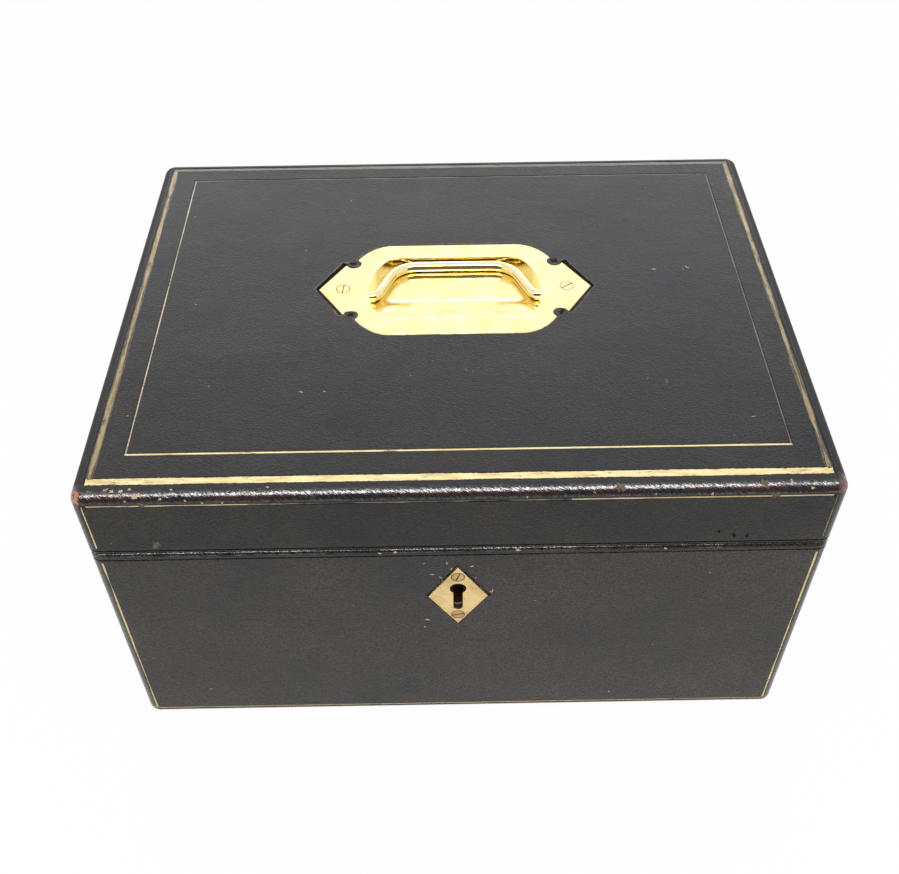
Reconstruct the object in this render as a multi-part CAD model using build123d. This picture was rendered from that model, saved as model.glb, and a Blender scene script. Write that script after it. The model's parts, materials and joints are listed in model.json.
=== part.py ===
from build123d import *

import os
from math import atan2, cos, sin

# Leather-covered jewellery box with a lift-up lid, a flush brass carrying handle, a link lock
# with a lozenge keyhole plate, two butt hinges and a velvet lift-out tray.
# Millimetres. X runs to the right, Y to the back, Z up, from the middle of the underside.

# Case
case_width = 280.0
case_depth = 217.0
case_height = 147.5
lid_height = 32.2
seam_gap = 0.6
leather = 1.0
board = 8.0
front_board = 10.0
bottom_board = 6.0
lid_board = 10.0
upright_round = 5.0
top_round = 4.5
foot_round = 2.5
lid_rim_round = 1.2
base_rim_round = 2.0
cover_inset = 4.0
cover_thickness = 0.8
leather_turn_in = 15.0

# Tooled lines in the leather
tooling_depth = 0.2
wide_line = 3.4
wide_inset_x = 6.4
wide_inset_front = 8.0
wide_inset_back = 6.2
fine_line = 1.1
fine_inset_x = 17.3
fine_inset_front = 21.3
fine_inset_back = 15.6
edge_line = 0.9
edge_inset = 4.4
lid_line_drop = 4.6
foot_line_height = 4.0
lid_crease_rise = 1.7
base_crease_drop = 3.3
crease_width = 0.8
crease_depth = 0.35

# Handle plate with its dish, seen from above, about its own centre
plate_shift_x = 0.3
plate_setback = 8.3
plate_sink = 0.2
plate_width = 60.8
plate_straight = 54.0
plate_end = 20.5
plate_thickness = 1.6
plate_gap = 0.5
point_gap = 1.6
point_reach = 58.2
point_shoulder_x = 47.5
point_shoulder_y = 16.5
notch_x = 44.0
notch_y = 17.5
notch_radius = 3.0
dish_straight = 48.0
dish_end = 12.7
dish_middle = -2.5
dish_back = 20.9
dish_front_reach = 21.5
dish_depth = 4.9
dish_floor = 1.2
dish_wall = 3.0
dish_flat_front = -3.2
dish_lip_front = -20.5
dish_floor_bend = 12.0
dish_lip_bend = 18.0
plate_screw_x = 47.9

# Bail handle
bail_radius = 2.2
bail_pin_radius = 1.8
bail_pivot_depth = 2.4
bail_reach = 20.3
bail_corner_x = 24.8
bail_corner_radius = 13.0
bail_foot_x = 33.6
bail_foot_radius = 3.5
bail_end_gap = 0.6
bail_pin_bite = 2.4

# Keyhole plate and key hole
lozenge_shift_x = -0.9
lozenge_drop = 29.7
lozenge_width = 23.5
lozenge_tall = 37.0
lozenge_gap = 0.5
lozenge_hole_rise = 0.3
lozenge_pin_rise = 12.4
lozenge_head_radius = 2.4
keyhole_rise = 5.0
keyhole_radius = 3.27
throat_width = 3.8
throat_length = 13.8

# Link lock
lock_width = 46.0
lock_height = 39.0
lock_depth = 7.5
lock_wall = 1.2
selvage_width = 60.0
selvage_depth = 9.0
selvage_thickness = 1.5
cap_width = 54.0
cap_thickness = 1.0
drill_pin_radius = 1.1
drill_pin_length = 5.2
staple_spacing = 16.0
staple_thickness = 1.5
staple_width = 4.6
staple_reach = 13.0
staple_window_width = 2.9
staple_window_height = 3.4
staple_foot = 1.4
slot_side_gap = 0.6
slot_end_gap = 0.8
bolt_thickness = 2.0
bolt_bar_height = 3.6
bolt_bar_drop = 0.8
finger_height = 2.4
finger_length = 4.0
finger_gap = 0.8
post_width = 2.4
stud_radius = 1.5
stud_spacing = 16.0
link_width = 50.0
link_depth = 6.0
link_thickness = 1.2

# Butt hinges
hinge_from_side = 55.0
hinge_width = 32.0
hinge_leaf_depth = 8.5
hinge_leaf_thickness = 1.2
knuckle_radius = 2.2
knuckle_count = 5
knuckle_gap = 0.3
hinge_pin_radius = 1.0
hinge_relief = 0.4
hinge_screw_spacing = 11.0

# Screws and fits
head_radius = 2.65
head_height = 0.9
shank_radius = 1.1
small_head_radius = 1.6
small_head_height = 0.6
small_shank_radius = 0.8
plate_screw_length = 5.5
pin_length = 2.2
hinge_screw_length = 6.5
screw_slot = 0.5
running_gap = 0.05
seat_gap = 0.1
free_gap = 0.3

# Lining and cushions
upper_lining = 1.0
lower_lining = 5.0
ledge_drop = 43.0
lining_drop = 1.0
floor_cushion = 8.0
lid_cushion = 8.0
cushion_margin = 1.5
cushion_corner = 6.0
cushion_draw = 1.6
crown_share = 0.45

# Lift-out tray
tray_gap = 1.0
tray_wall = 3.0
tray_floor = 2.5
tray_top_drop = 1.0
ring_row_depth = 62.0
ring_roll_count = 5
ring_roll_rise = 15.0
divider_drop = 6.0
divider_spacing = 84.0
tray_cushion = 5.0
tab_width = 14.0
tab_height = 17.0
tab_rise = 6.0
tab_thickness = 0.9

# Places that follow from the sizes above
seam_height = case_height - lid_height
front_y = -(case_depth + knuckle_radius) / 2
back_y = front_y + case_depth
centre_y = (front_y + back_y) / 2
side_x = case_width / 2
base_top = seam_height - seam_gap / 2
lid_bottom = seam_height + seam_gap / 2
board_front_in = front_y + leather + front_board
board_back_in = back_y - leather - board
board_side_in = side_x - leather - board
base_floor = cover_thickness + leather + bottom_board
lid_ceiling = case_height - leather - lid_board
room_front = board_front_in + upper_lining
room_back = board_back_in - upper_lining
room_side = board_side_in - upper_lining
lozenge_height = base_top - lozenge_drop
keyhole_height = lozenge_height + keyhole_rise
throat_foot = keyhole_height - throat_length
lock_x = lozenge_shift_x
lock_y = board_front_in - (lock_depth - lock_wall) / 2
lock_top = base_top - selvage_thickness
lock_bottom = lock_top - lock_height
staple_x = [lock_x - staple_spacing / 2, lock_x + staple_spacing / 2]
staple_bottom = lid_bottom - staple_reach
window_bottom = staple_bottom + staple_foot
finger_bottom = window_bottom + (staple_window_height - finger_height) / 2
bolt_bar_top = staple_bottom - bolt_bar_drop
bolt_bar_bottom = bolt_bar_top - bolt_bar_height
hinge_x = [hinge_from_side - side_x, side_x - hinge_from_side]
leaf_front = back_y - hinge_leaf_depth
tray_front = room_front + tray_gap
tray_back = room_back - tray_gap
tray_side = room_side - tray_gap
ledge_height = base_top - ledge_drop
tray_bottom = ledge_height + free_gap
tray_top = base_top - tray_top_drop
ring_row_front = tray_back - tray_wall - ring_row_depth
plate_place = Pos(plate_shift_x, centre_y + plate_setback, case_height - plate_sink)


def block(x_range, y_range, z_range):
    """A box between a low and a high limit along each axis."""
    ranges = (x_range, y_range, z_range)
    middle = [(low + high) / 2 for low, high in ranges]
    return Pos(*middle) * Box(*[high - low for low, high in ranges])


def span(middle, width):
    """The low and high limits of a width about a middle."""
    return (middle - width / 2, middle + width / 2)


def rounded(solid, edges, radius):
    """The solid with those edges rounded, or as it is where the radius has run out."""
    return fillet(edges, radius=radius) if radius > 0.25 else solid


def case_form(low, high, foot, top, inset):
    """A rounded case between two heights, drawn in on all sides by the inset."""
    form = block(
        (inset - side_x, side_x - inset),
        (front_y + inset, back_y - inset),
        (low + inset, high - inset),
    )
    form = rounded(form, form.edges().filter_by(Axis.Z), upright_round - inset)
    form = rounded(form, form.faces().sort_by(Axis.Z)[0].edges(), foot - inset)
    return rounded(form, form.faces().sort_by(Axis.Z)[-1].edges(), top - inset)


def base_form(inset):
    return case_form(cover_thickness, base_top, foot_round, base_rim_round, inset)


def lid_form(inset):
    return case_form(lid_bottom, case_height, lid_rim_round, top_round, inset)


def everywhere(low, high):
    """A slab wider than the case between two heights."""
    return block((-case_width, case_width), (-case_depth, case_depth), (low, high))


def screw_head_shape(radius, height, slot_depth):
    """A slotted flat head with its top at zero."""
    head = Pos(0, 0, -height / 2) * Cylinder(radius, height)
    slot = Pos(0, 0, -slot_depth / 2) * Box(3 * radius, screw_slot, slot_depth)
    return head - slot


def screw(radius, height, shank, length):
    """A flat-headed screw that points down, with its head's top at zero."""
    body = Pos(0, 0, -height - length / 2) * Cylinder(shank, length)
    return screw_head_shape(radius, height, height / 2) + body


def screw_room(radius, height, shank, length):
    """The hole a screw goes in: a flat seat for its head and a close hole for its shank."""
    seat = Pos(0, 0, -height / 2) * Cylinder(radius + seat_gap, height)
    deep = length + free_gap
    return seat + Pos(0, 0, -height - deep / 2) * Cylinder(shank + running_gap, deep)


def small_screw(length):
    return screw(small_head_radius, small_head_height, small_shank_radius, length)


def small_rooms(places, length):
    """The holes for small screws at each of those places."""
    room = screw_room(small_head_radius, small_head_height, small_shank_radius, length)
    return [place * room for place in places]


def cut(solid, rooms):
    """The solid less each room."""
    for room in rooms:
        solid = solid - room
    return solid


def cushion(x_range, y_range, low, height):
    """A stuffed pad: drawn in where it rests, fullest below half way up, crowned on top."""
    width = x_range[1] - x_range[0]
    depth = y_range[1] - y_range[0]
    crown = crown_share * min(width, depth)
    levels = [(0, 2), (0.18, 0.6), (0.4, 0), (0.62, 1), (0.8, 3.5), (0.9, 8)]
    sections = []
    for rise, draws in levels:
        outline = RectangleRounded(
            width - draws * cushion_draw, depth - draws * cushion_draw, cushion_corner
        )
        sections.append(Pos(0, 0, rise * height) * outline)
    top = RectangleRounded(width - crown, depth - crown, cushion_corner)
    sections.append(Pos(0, 0, height) * top)
    middle = (sum(x_range) / 2, sum(y_range) / 2, low)
    return Pos(*middle) * loft(sections, ruled=True)


# Tooling

def tooled_frame(inset_x, inset_front, inset_back, width):
    """A rectangular line pressed into the top of the lid."""
    frame = None
    for grow in (width / 2, -width / 2):
        outline = block(
            (inset_x - side_x - grow, side_x - inset_x + grow),
            (front_y + inset_front - grow, back_y - inset_back + grow),
            (case_height - tooling_depth, case_height + 1),
        )
        frame = outline if frame is None else frame - outline
    return frame


def crease(form, height):
    """A blind line pressed all round a form at one height."""
    slab = everywhere(*span(height, crease_width))
    return slab - form(crease_depth)


def front_line(x_range, z_range):
    """A line pressed into the front."""
    return block(x_range, (front_y - 1, front_y + tooling_depth), z_range)


def upright_lines(low, high):
    """The two upright lines at the ends of the front."""
    left = span(edge_inset - side_x, edge_line)
    right = span(side_x - edge_inset, edge_line)
    return [front_line(left, (low, high)), front_line(right, (low, high))]


def lid_tooling():
    level = span(case_height - lid_line_drop, edge_line)
    ends = (edge_inset - side_x, side_x - edge_inset)
    return [
        tooled_frame(wide_inset_x, wide_inset_front, wide_inset_back, wide_line),
        tooled_frame(fine_inset_x, fine_inset_front, fine_inset_back, fine_line),
        crease(lid_form, lid_bottom + lid_crease_rise),
        front_line(ends, level),
        *upright_lines(lid_bottom + 2 * lid_crease_rise, level[0]),
    ]


def base_tooling():
    level = span(foot_line_height, edge_line)
    ends = (edge_inset - side_x, side_x - edge_inset)
    return [
        crease(base_form, base_top - base_crease_drop),
        front_line(ends, level),
        *upright_lines(level[1], base_top - 1.5 * base_crease_drop),
    ]


# Handle plate

def plate_outline(grow, point_grow):
    """The plate seen from above: an oval with a point and two round notches at each end."""
    outline = Rectangle(plate_straight, plate_width + 2 * grow)
    slope = atan2(point_shoulder_y, point_reach - point_shoulder_x)
    tip = point_reach + point_grow / sin(slope)
    shoulder = (point_shoulder_x + point_grow, point_shoulder_y + point_grow)
    for side in (-1, 1):
        end = Ellipse(plate_end + grow, plate_width / 2 + grow)
        outline += Pos(side * plate_straight / 2) * end
    point = Polygon((-tip, 0), (-shoulder[0], -shoulder[1]), (shoulder[0], -shoulder[1]),
                    (tip, 0), shoulder, (-shoulder[0], shoulder[1]))
    outline += point
    for side in (-1, 1):
        for half in (-1, 1):
            outline -= Pos(side * notch_x, half * notch_y) * Circle(notch_radius - grow)
    return outline


def dish_outline(grow):
    """The dish seen from above: straight long sides and elliptical ends, fullest at its middle."""
    halves = []
    for reach in (dish_middle - dish_back, dish_front_reach):
        tall = abs(reach) + grow
        half = Rectangle(dish_straight, 2 * tall)
        for side in (-1, 1):
            half += Pos(side * dish_straight / 2) * Ellipse(dish_end + grow, tall)
        halves.append(half)
    back = dish_middle - dish_lip_front + grow
    wide = dish_straight + 2 * (dish_end + grow) + 2
    tall = 2 * (dish_back + grow)
    outline = halves[0] & Pos(0, tall / 2) * Rectangle(wide, tall)
    outline += halves[1] & Pos(0, -back / 2) * Rectangle(wide, back)
    return Pos(0, dish_middle) * outline


def dish_hollow():
    """The hollow of the dish: upright at the back, with a floor that slopes up to the front."""
    over = 0.15
    back = dish_back + 1
    front = dish_lip_front - 2 * dish_wall
    floor = FilletPolyline(
        (back, -dish_depth),
        (dish_flat_front, -dish_depth),
        (dish_lip_front, over),
        (front, over),
        radius=[dish_floor_bend, dish_lip_bend],
    )
    top = Polyline((front, over), (front, over + 1), (back, over + 1), (back, -dish_depth))
    profile = make_face(Wire([*floor.edges(), *top.edges()]))
    reach = dish_straight / 2 + dish_end + 1
    swept = extrude(Plane.YZ * profile, amount=reach, both=True)
    tall = Pos(0, 0, -dish_depth - 1) * extrude(dish_outline(0), amount=dish_depth + 2)
    return swept & tall


def bail_pin_room():
    """The two blind holes that the bail turns in."""
    wall = dish_straight / 2 + dish_end
    deep = bail_pin_bite + free_gap
    room = Cylinder(bail_pin_radius + running_gap, deep + 1, rotation=(0, 90, 0))
    middle = wall + deep - (deep + 1) / 2
    left = Pos(-middle, dish_middle, -bail_pivot_depth) * room
    return left + Pos(middle, dish_middle, -bail_pivot_depth) * room


def make_handle_plate():
    sheet = Pos(0, 0, -plate_thickness) * extrude(plate_outline(0, 0), amount=plate_thickness)
    edges = sheet.faces().sort_by(Axis.Z)[-1].edges()
    sheet = chamfer(edges, length=0.3)
    deep = dish_depth + dish_floor
    cup = Pos(0, 0, -deep) * extrude(dish_outline(dish_wall), amount=deep - plate_thickness / 2)
    plate = sheet + cup - dish_hollow() - bail_pin_room()
    for side in (-1, 1):
        room = screw_room(head_radius, head_height, shank_radius, plate_screw_length)
        plate -= Pos(side * plate_screw_x, 0, 0) * room
    return plate_place * plate


def plate_room():
    """The seat cut for the handle plate and its dish in leather and wood."""
    outline = plate_outline(plate_gap, point_gap)
    seat = Pos(0, 0, -plate_thickness) * extrude(outline, amount=plate_thickness + 2)
    deep = dish_depth + dish_floor + seat_gap
    cup = Pos(0, 0, -deep) * extrude(dish_outline(dish_wall + free_gap), amount=deep)
    room = seat + cup
    for side in (-1, 1):
        hole = screw_room(head_radius, head_height, shank_radius, plate_screw_length)
        room += Pos(side * plate_screw_x, 0, 0) * hole
    return plate_place * room


def make_handle_screws():
    one = screw(head_radius, head_height, shank_radius, plate_screw_length)
    left = Pos(-plate_screw_x, 0, 0) * Rot(0, 0, 84) * one
    right = Pos(plate_screw_x, 0, 0) * Rot(0, 0, 33) * one
    return plate_place * Compound(children=[left, right])


def make_handle_bail():
    """A round bar with two ogee legs, lying in the dish, and a pin at each end."""
    end = dish_straight / 2 + dish_end - bail_end_gap
    path = FilletPolyline(
        (-end, 0),
        (-bail_foot_x, 0),
        (-bail_corner_x, bail_reach),
        (bail_corner_x, bail_reach),
        (bail_foot_x, 0),
        (end, 0),
        radius=[bail_foot_radius, bail_corner_radius, bail_corner_radius, bail_foot_radius],
    )
    section = Plane(origin=path @ 0, z_dir=path % 0) * Circle(bail_radius)
    bail = sweep(section, path=path)
    length = bail_end_gap + bail_pin_bite
    pin = Cylinder(bail_pin_radius, length, rotation=(0, 90, 0))
    middle = end + length / 2
    bail = bail + Pos(-middle, 0, 0) * pin + Pos(middle, 0, 0) * pin
    return plate_place * Pos(0, dish_middle, -bail_pivot_depth) * bail


# Keyhole plate

def on_front(depth, shape):
    """Turns a shape drawn flat to face the front, that far behind the leather."""
    return Pos(0, front_y + depth, 0) * Rot(90, 0, 0) * shape


def keyhole(grow):
    """The keyhole seen from the front, in X and Z."""
    width = throat_width + 2 * grow
    foot = throat_foot - grow + width / 2
    outline = Pos(lock_x, keyhole_height) * Circle(keyhole_radius + grow)
    outline += Pos(lock_x, (keyhole_height + foot) / 2) * Rectangle(width, keyhole_height - foot)
    return outline + Pos(lock_x, foot) * Circle(width / 2)


def lozenge(grow):
    """The keyhole plate seen from the front, in X and Z."""
    slope = atan2(lozenge_tall, lozenge_width)
    wide = lozenge_width / 2 + grow / sin(slope)
    tall = lozenge_tall / 2 + grow / cos(slope)
    outline = Polygon((-wide, 0), (0, -tall), (wide, 0), (0, tall))
    return Pos(lock_x, lozenge_height) * outline


def lozenge_pin_places():
    """Where the two short screws of the keyhole plate go, each turned its own way."""
    for rise, turn in ((lozenge_pin_rise, 70), (-lozenge_pin_rise, 15)):
        yield Pos(lock_x, front_y, lozenge_height + rise) * Rot(90, 0, 0) * Rot(0, 0, turn)


def lozenge_pin_rooms():
    room = screw_room(lozenge_head_radius, small_head_height, small_shank_radius, pin_length)
    return [place * room for place in lozenge_pin_places()]


def make_escutcheon():
    plate = extrude(lozenge(0), amount=leather) - extrude(keyhole(0), amount=leather)
    plate = on_front(leather, plate)
    return cut(plate, lozenge_pin_rooms())


def make_escutcheon_screws():
    one = screw(lozenge_head_radius, small_head_height, small_shank_radius, pin_length)
    return Compound(children=[place * one for place in lozenge_pin_places()])


# Link lock

def lock_slot(x_middle, z_range, side_gap, end_gap):
    """The room a staple needs, or the staple's own block where the gaps are nothing."""
    wide = staple_thickness + 2 * side_gap
    deep = staple_width + 2 * end_gap
    return block(span(x_middle, wide), span(lock_y, deep), z_range)


def selvage_range():
    """Front and back limits of the strip let into the rim."""
    return (board_front_in - selvage_depth, board_front_in)


def make_lock_case():
    """A shallow box open to the back, with the strip that shows in the rim."""
    lock_front = board_front_in - lock_depth
    shell = block(span(lock_x, lock_width), (lock_front, board_front_in), (lock_bottom, lock_top))
    shell -= block(
        span(lock_x, lock_width - 2 * lock_wall),
        (lock_front + lock_wall, board_front_in + 1),
        (lock_bottom + lock_wall, lock_top + 1),
    )
    shell += block(span(lock_x, selvage_width), selvage_range(), (lock_top, base_top))
    for x in staple_x:
        shell -= lock_slot(x, (lock_top - 1, base_top + 1), slot_side_gap, slot_end_gap)
    hole = extrude(keyhole(free_gap), amount=front_board)
    shell -= on_front(lock_front + lock_wall + 0.1 - front_y, hole)
    stud_z = bolt_bar_bottom - free_gap - stud_radius
    stud_length = lock_depth - 2 * lock_wall
    stud = Cylinder(stud_radius, stud_length, rotation=(90, 0, 0))
    for x in span(lock_x, stud_spacing):
        shell += Pos(x, lock_front + lock_wall + stud_length / 2, stud_z) * stud
    return shell


def lock_room():
    """The mortise in the front board."""
    lock_front = board_front_in - lock_depth
    room = block(
        span(lock_x, lock_width + 2 * seat_gap),
        (lock_front - seat_gap, board_front_in + 1),
        (lock_bottom - seat_gap, base_top + 1),
    )
    strip = selvage_range()
    room += block(
        span(lock_x, selvage_width + 2 * seat_gap),
        (strip[0] - seat_gap, board_front_in + 1),
        (lock_top, base_top + 1),
    )
    return room


def cap_screw_places():
    """Where the four screws of the lock's inner plate go, turned to drive to the front."""
    x_off = (lock_width + cap_width) / 4
    for x in (lock_x - x_off, lock_x + x_off):
        for z in (lock_bottom + 4, lock_top - 5):
            yield Pos(x, board_front_in + cap_thickness, z) * Rot(-90, 0, 0)


def make_lock_cap():
    """The lock's inner plate, with the drill pin that a pipe key fits over."""
    cap = block(
        span(lock_x, cap_width),
        (board_front_in, board_front_in + cap_thickness),
        (lock_bottom, lock_top),
    )
    cap = cut(cap, small_rooms(cap_screw_places(), pin_length))
    pin = Cylinder(drill_pin_radius, drill_pin_length, rotation=(90, 0, 0))
    return cap + Pos(lock_x, board_front_in - drill_pin_length / 2, keyhole_height) * pin


def make_lock_cap_screws():
    return Compound(children=[place * small_screw(pin_length) for place in cap_screw_places()])


def make_lock_bolt():
    """A bar with an upright post and a finger for each staple. It slides along X."""
    first = staple_x[0] - staple_thickness / 2 - finger_gap - finger_length - post_width
    last = staple_x[1] + staple_thickness
    thick = span(lock_y, bolt_thickness)
    bolt = block((first, last), thick, (bolt_bar_bottom, bolt_bar_top))
    for x in staple_x:
        tip = x - staple_thickness / 2 - finger_gap
        root = tip - finger_length
        finger_top = finger_bottom + finger_height
        bolt += block((root - post_width, root), thick, (bolt_bar_top, finger_top))
        bolt += block((root, tip), thick, (finger_bottom, finger_top))
    return bolt


def make_link_plate():
    """The plate let into the lid's rim, with the two staples that the bolt catches."""
    plate = block(
        span(lock_x, link_width),
        span(lock_y, link_depth),
        (lid_bottom, lid_bottom + link_thickness),
    )
    for x in staple_x:
        staple = lock_slot(x, (staple_bottom, lid_bottom), 0, 0)
        window = block(
            span(x, 2 * staple_thickness),
            span(lock_y, staple_window_width),
            (window_bottom, window_bottom + staple_window_height),
        )
        plate += staple - window
    return cut(plate, small_rooms(link_screw_places(), hinge_screw_length))


def link_screw_places():
    for x in span(lock_x, link_width - 8):
        yield Pos(x, lock_y, lid_bottom) * Rot(180, 0, 0)


def make_link_screws():
    return Compound(children=[place * small_screw(hinge_screw_length) for place in link_screw_places()])


def link_room():
    """The seat of the link plate in the lid's rim."""
    return block(
        span(lock_x, link_width + 2 * seat_gap),
        span(lock_y, link_depth + 2 * seat_gap),
        (lid_bottom - 1, lid_bottom + link_thickness),
    )


# Butt hinges

def knuckle_spans(middle):
    """The limits along X of the knuckles of one hinge, from left to right."""
    pitch = (hinge_width + knuckle_gap) / knuckle_count
    start = middle - hinge_width / 2
    return [(start + i * pitch, start + (i + 1) * pitch - knuckle_gap) for i in range(knuckle_count)]


def along_x(radius, x_range):
    """A round bar on the hinge line between two places along X."""
    length = x_range[1] - x_range[0]
    bar = Cylinder(radius, length, rotation=(0, 90, 0))
    return Pos(sum(x_range) / 2, back_y, seam_height) * bar


def make_hinge_leaf(middle, first, z_range, screw_places):
    """A leaf with every second knuckle, counted from the first one given."""
    reach = back_y - knuckle_radius - hinge_relief
    leaf = block(span(middle, hinge_width), (leaf_front, reach), z_range)
    for x_range in knuckle_spans(middle)[first::2]:
        leaf += block(x_range, (reach, back_y), z_range)
        leaf += along_x(knuckle_radius, x_range)
    leaf -= along_x(hinge_pin_radius + running_gap, span(middle, 2 * hinge_width))
    return cut(leaf, small_rooms(screw_places, hinge_screw_length))


def hinge_screw_places(middle, top):
    """Where one leaf's screws go: down from the rim of the base, or up into the lid."""
    turn = Rot(0, 0, 0) if top else Rot(180, 0, 0)
    level = base_top if top else lid_bottom
    y = leaf_front + (hinge_leaf_depth - knuckle_radius) / 2
    for step in (-1, 0, 1):
        yield Pos(middle + step * hinge_screw_spacing, y, level) * turn


def make_hinge_screws(top):
    one = small_screw(hinge_screw_length)
    return Compound(children=[p * one for x in hinge_x for p in hinge_screw_places(x, top)])


def hinge_room(z_range):
    """The room of both hinges in leather and wood on one side of the seam."""
    rooms = []
    for middle in hinge_x:
        wide = span(middle, hinge_width + 2 * seat_gap)
        rooms.append(block(wide, (leaf_front - seat_gap, back_y + 1), z_range))
        rooms.append(along_x(knuckle_radius + hinge_relief, wide))
    return rooms


base_leaf_range = (base_top - hinge_leaf_thickness, base_top)
lid_leaf_range = (lid_bottom, lid_bottom + hinge_leaf_thickness)


# Base

def inside(low, high):
    """The inside of the boards between two heights."""
    return block((-board_side_in, board_side_in), (board_front_in, board_back_in), (low, high))


def make_base_leather():
    skin = base_form(0) - base_form(leather) - inside(base_floor, base_top + 1)
    skin -= block(
        (leather_turn_in - side_x, side_x - leather_turn_in),
        (front_y + leather_turn_in, back_y - leather_turn_in),
        (cover_thickness - 1, cover_thickness + 2 * leather),
    )
    skin = cut(skin, base_tooling())
    skin = cut(skin, hinge_room((base_leaf_range[0], base_top + 1)))
    window = Pos(0, lozenge_hole_rise, 0) * extrude(lozenge(lozenge_gap), amount=leather + 2)
    skin -= on_front(leather + 0.5, window)
    return skin - lock_room()


def base_boards():
    core = base_form(leather)
    core = cut(core, hinge_room((base_leaf_range[0], base_top + 1)))
    core -= lock_room()
    core -= on_front(leather + front_board, extrude(keyhole(free_gap), amount=front_board + 1))
    core = cut(core, lozenge_pin_rooms())
    for x in hinge_x:
        core = cut(core, small_rooms(hinge_screw_places(x, True), hinge_screw_length))
    return cut(core, small_rooms(cap_screw_places(), pin_length))


def make_bottom_cover():
    """Cloth-covered panel over the turned-in leather, with a filling inside the turn-in."""
    panel = block(
        (cover_inset - side_x, side_x - cover_inset),
        (front_y + cover_inset, back_y - cover_inset),
        (0, cover_thickness),
    )
    filling = block(
        (leather_turn_in + seat_gap - side_x, side_x - leather_turn_in - seat_gap),
        (front_y + leather_turn_in + seat_gap, back_y - leather_turn_in - seat_gap),
        (cover_thickness, cover_thickness + leather),
    )
    return panel + filling


def lining_ring(low, high, thickness, front, back, side):
    """A lining of even thickness on the inside of four walls."""
    outer = block((-side, side), (front, back), (low, high))
    inner = block(
        (thickness - side, side - thickness),
        (front + thickness, back - thickness),
        (low - 1, high + 1),
    )
    return outer - inner


def make_upper_lining():
    ring = lining_ring(ledge_height, base_top - lining_drop, upper_lining,
                       board_front_in, board_back_in, board_side_in)
    return ring - lock_window()


def lock_window():
    """The room that the linings leave for the lock's inner plate."""
    return block(
        span(lock_x, cap_width + 2 * seat_gap),
        (board_front_in - 1, board_front_in + cap_thickness + seat_gap),
        (lock_bottom - seat_gap, base_top),
    )


def lower_lining_ranges():
    """The four padded panels below the tray: two long ones, and two short ones between them."""
    front = (board_front_in, board_front_in + lower_lining)
    back = (board_back_in - lower_lining, board_back_in)
    left = (-board_side_in, lower_lining - board_side_in)
    right = (board_side_in - lower_lining, board_side_in)
    long_x = (-board_side_in, board_side_in)
    short_y = (front[1], back[0])
    return {
        "front": (long_x, front),
        "back": (long_x, back),
        "left": (left, short_y),
        "right": (right, short_y),
    }


def make_base_floor_pad():
    ranges = lower_lining_ranges()
    inner_x = (ranges["left"][0][1] + cushion_margin, ranges["right"][0][0] - cushion_margin)
    inner_y = (ranges["front"][1][1] + cushion_margin, ranges["back"][1][0] - cushion_margin)
    return cushion(inner_x, inner_y, base_floor, floor_cushion)


# Lid

def make_lid_leather():
    skin = lid_form(0) - lid_form(leather) - inside(lid_bottom - 1, lid_ceiling)
    skin = cut(skin, lid_tooling())
    skin = cut(skin, hinge_room((lid_bottom - 1, lid_leaf_range[1])))
    return skin - link_room() - plate_room()


def lid_boards():
    core = lid_form(leather) - plate_room() - link_room()
    core = cut(core, hinge_room((lid_bottom - 1, lid_leaf_range[1])))
    for x in hinge_x:
        core = cut(core, small_rooms(hinge_screw_places(x, False), hinge_screw_length))
    return cut(core, small_rooms(link_screw_places(), hinge_screw_length))


def wall_boards(core, low, high):
    """The four walls cut from a solid core: two full-depth sides, with front and back between."""
    between = (-board_side_in, board_side_in)
    whole = (front_y, back_y)
    levels = (low, high)
    return {
        "left": core & block((-side_x, -board_side_in), whole, levels),
        "right": core & block((board_side_in, side_x), whole, levels),
        "front": core & block(between, (front_y, board_front_in), levels),
        "back": core & block(between, (board_back_in, back_y), levels),
    }


def make_lid_lining():
    return lining_ring(lid_bottom + lining_drop, lid_ceiling, upper_lining,
                       board_front_in, board_back_in, board_side_in)


def make_lid_pad():
    """The padded panel under the lid, crowned downwards."""
    margin = upper_lining + cushion_margin
    x_range = (margin - board_side_in, board_side_in - margin)
    y_range = (board_front_in + margin, board_back_in - margin)
    pad = cushion(x_range, span(0, y_range[1] - y_range[0]), 0, lid_cushion)
    return Pos(0, sum(y_range) / 2, lid_ceiling) * Rot(180, 0, 0) * pad


# Tray

def tray_box(x_range, y_range, drop):
    """An upright piece of the tray that stands on its floor."""
    return block(x_range, y_range, (tray_bottom + tray_floor, tray_top - drop))


def make_tray_walls():
    inner = (tray_wall - tray_side, tray_side - tray_wall)
    whole = (tray_front, tray_back)
    return {
        "tray_left_wall": tray_box((-tray_side, inner[0]), whole, 0),
        "tray_right_wall": tray_box((inner[1], tray_side), whole, 0),
        "tray_front_wall": tray_box(inner, (tray_front, tray_front + tray_wall), 0),
        "tray_back_wall": tray_box(inner, (tray_back - tray_wall, tray_back), 0),
    }


def make_tray_dividers():
    inner = (tray_wall - tray_side, tray_side - tray_wall)
    long_y = (ring_row_front - tray_wall, ring_row_front)
    short_y = (tray_front + tray_wall, long_y[0])
    left, right = span(0, divider_spacing)
    return {
        "tray_divider_long": tray_box(inner, long_y, divider_drop),
        "tray_divider_left": tray_box(span(left, tray_wall), short_y, divider_drop),
        "tray_divider_right": tray_box(span(right, tray_wall), short_y, divider_drop),
    }


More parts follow.
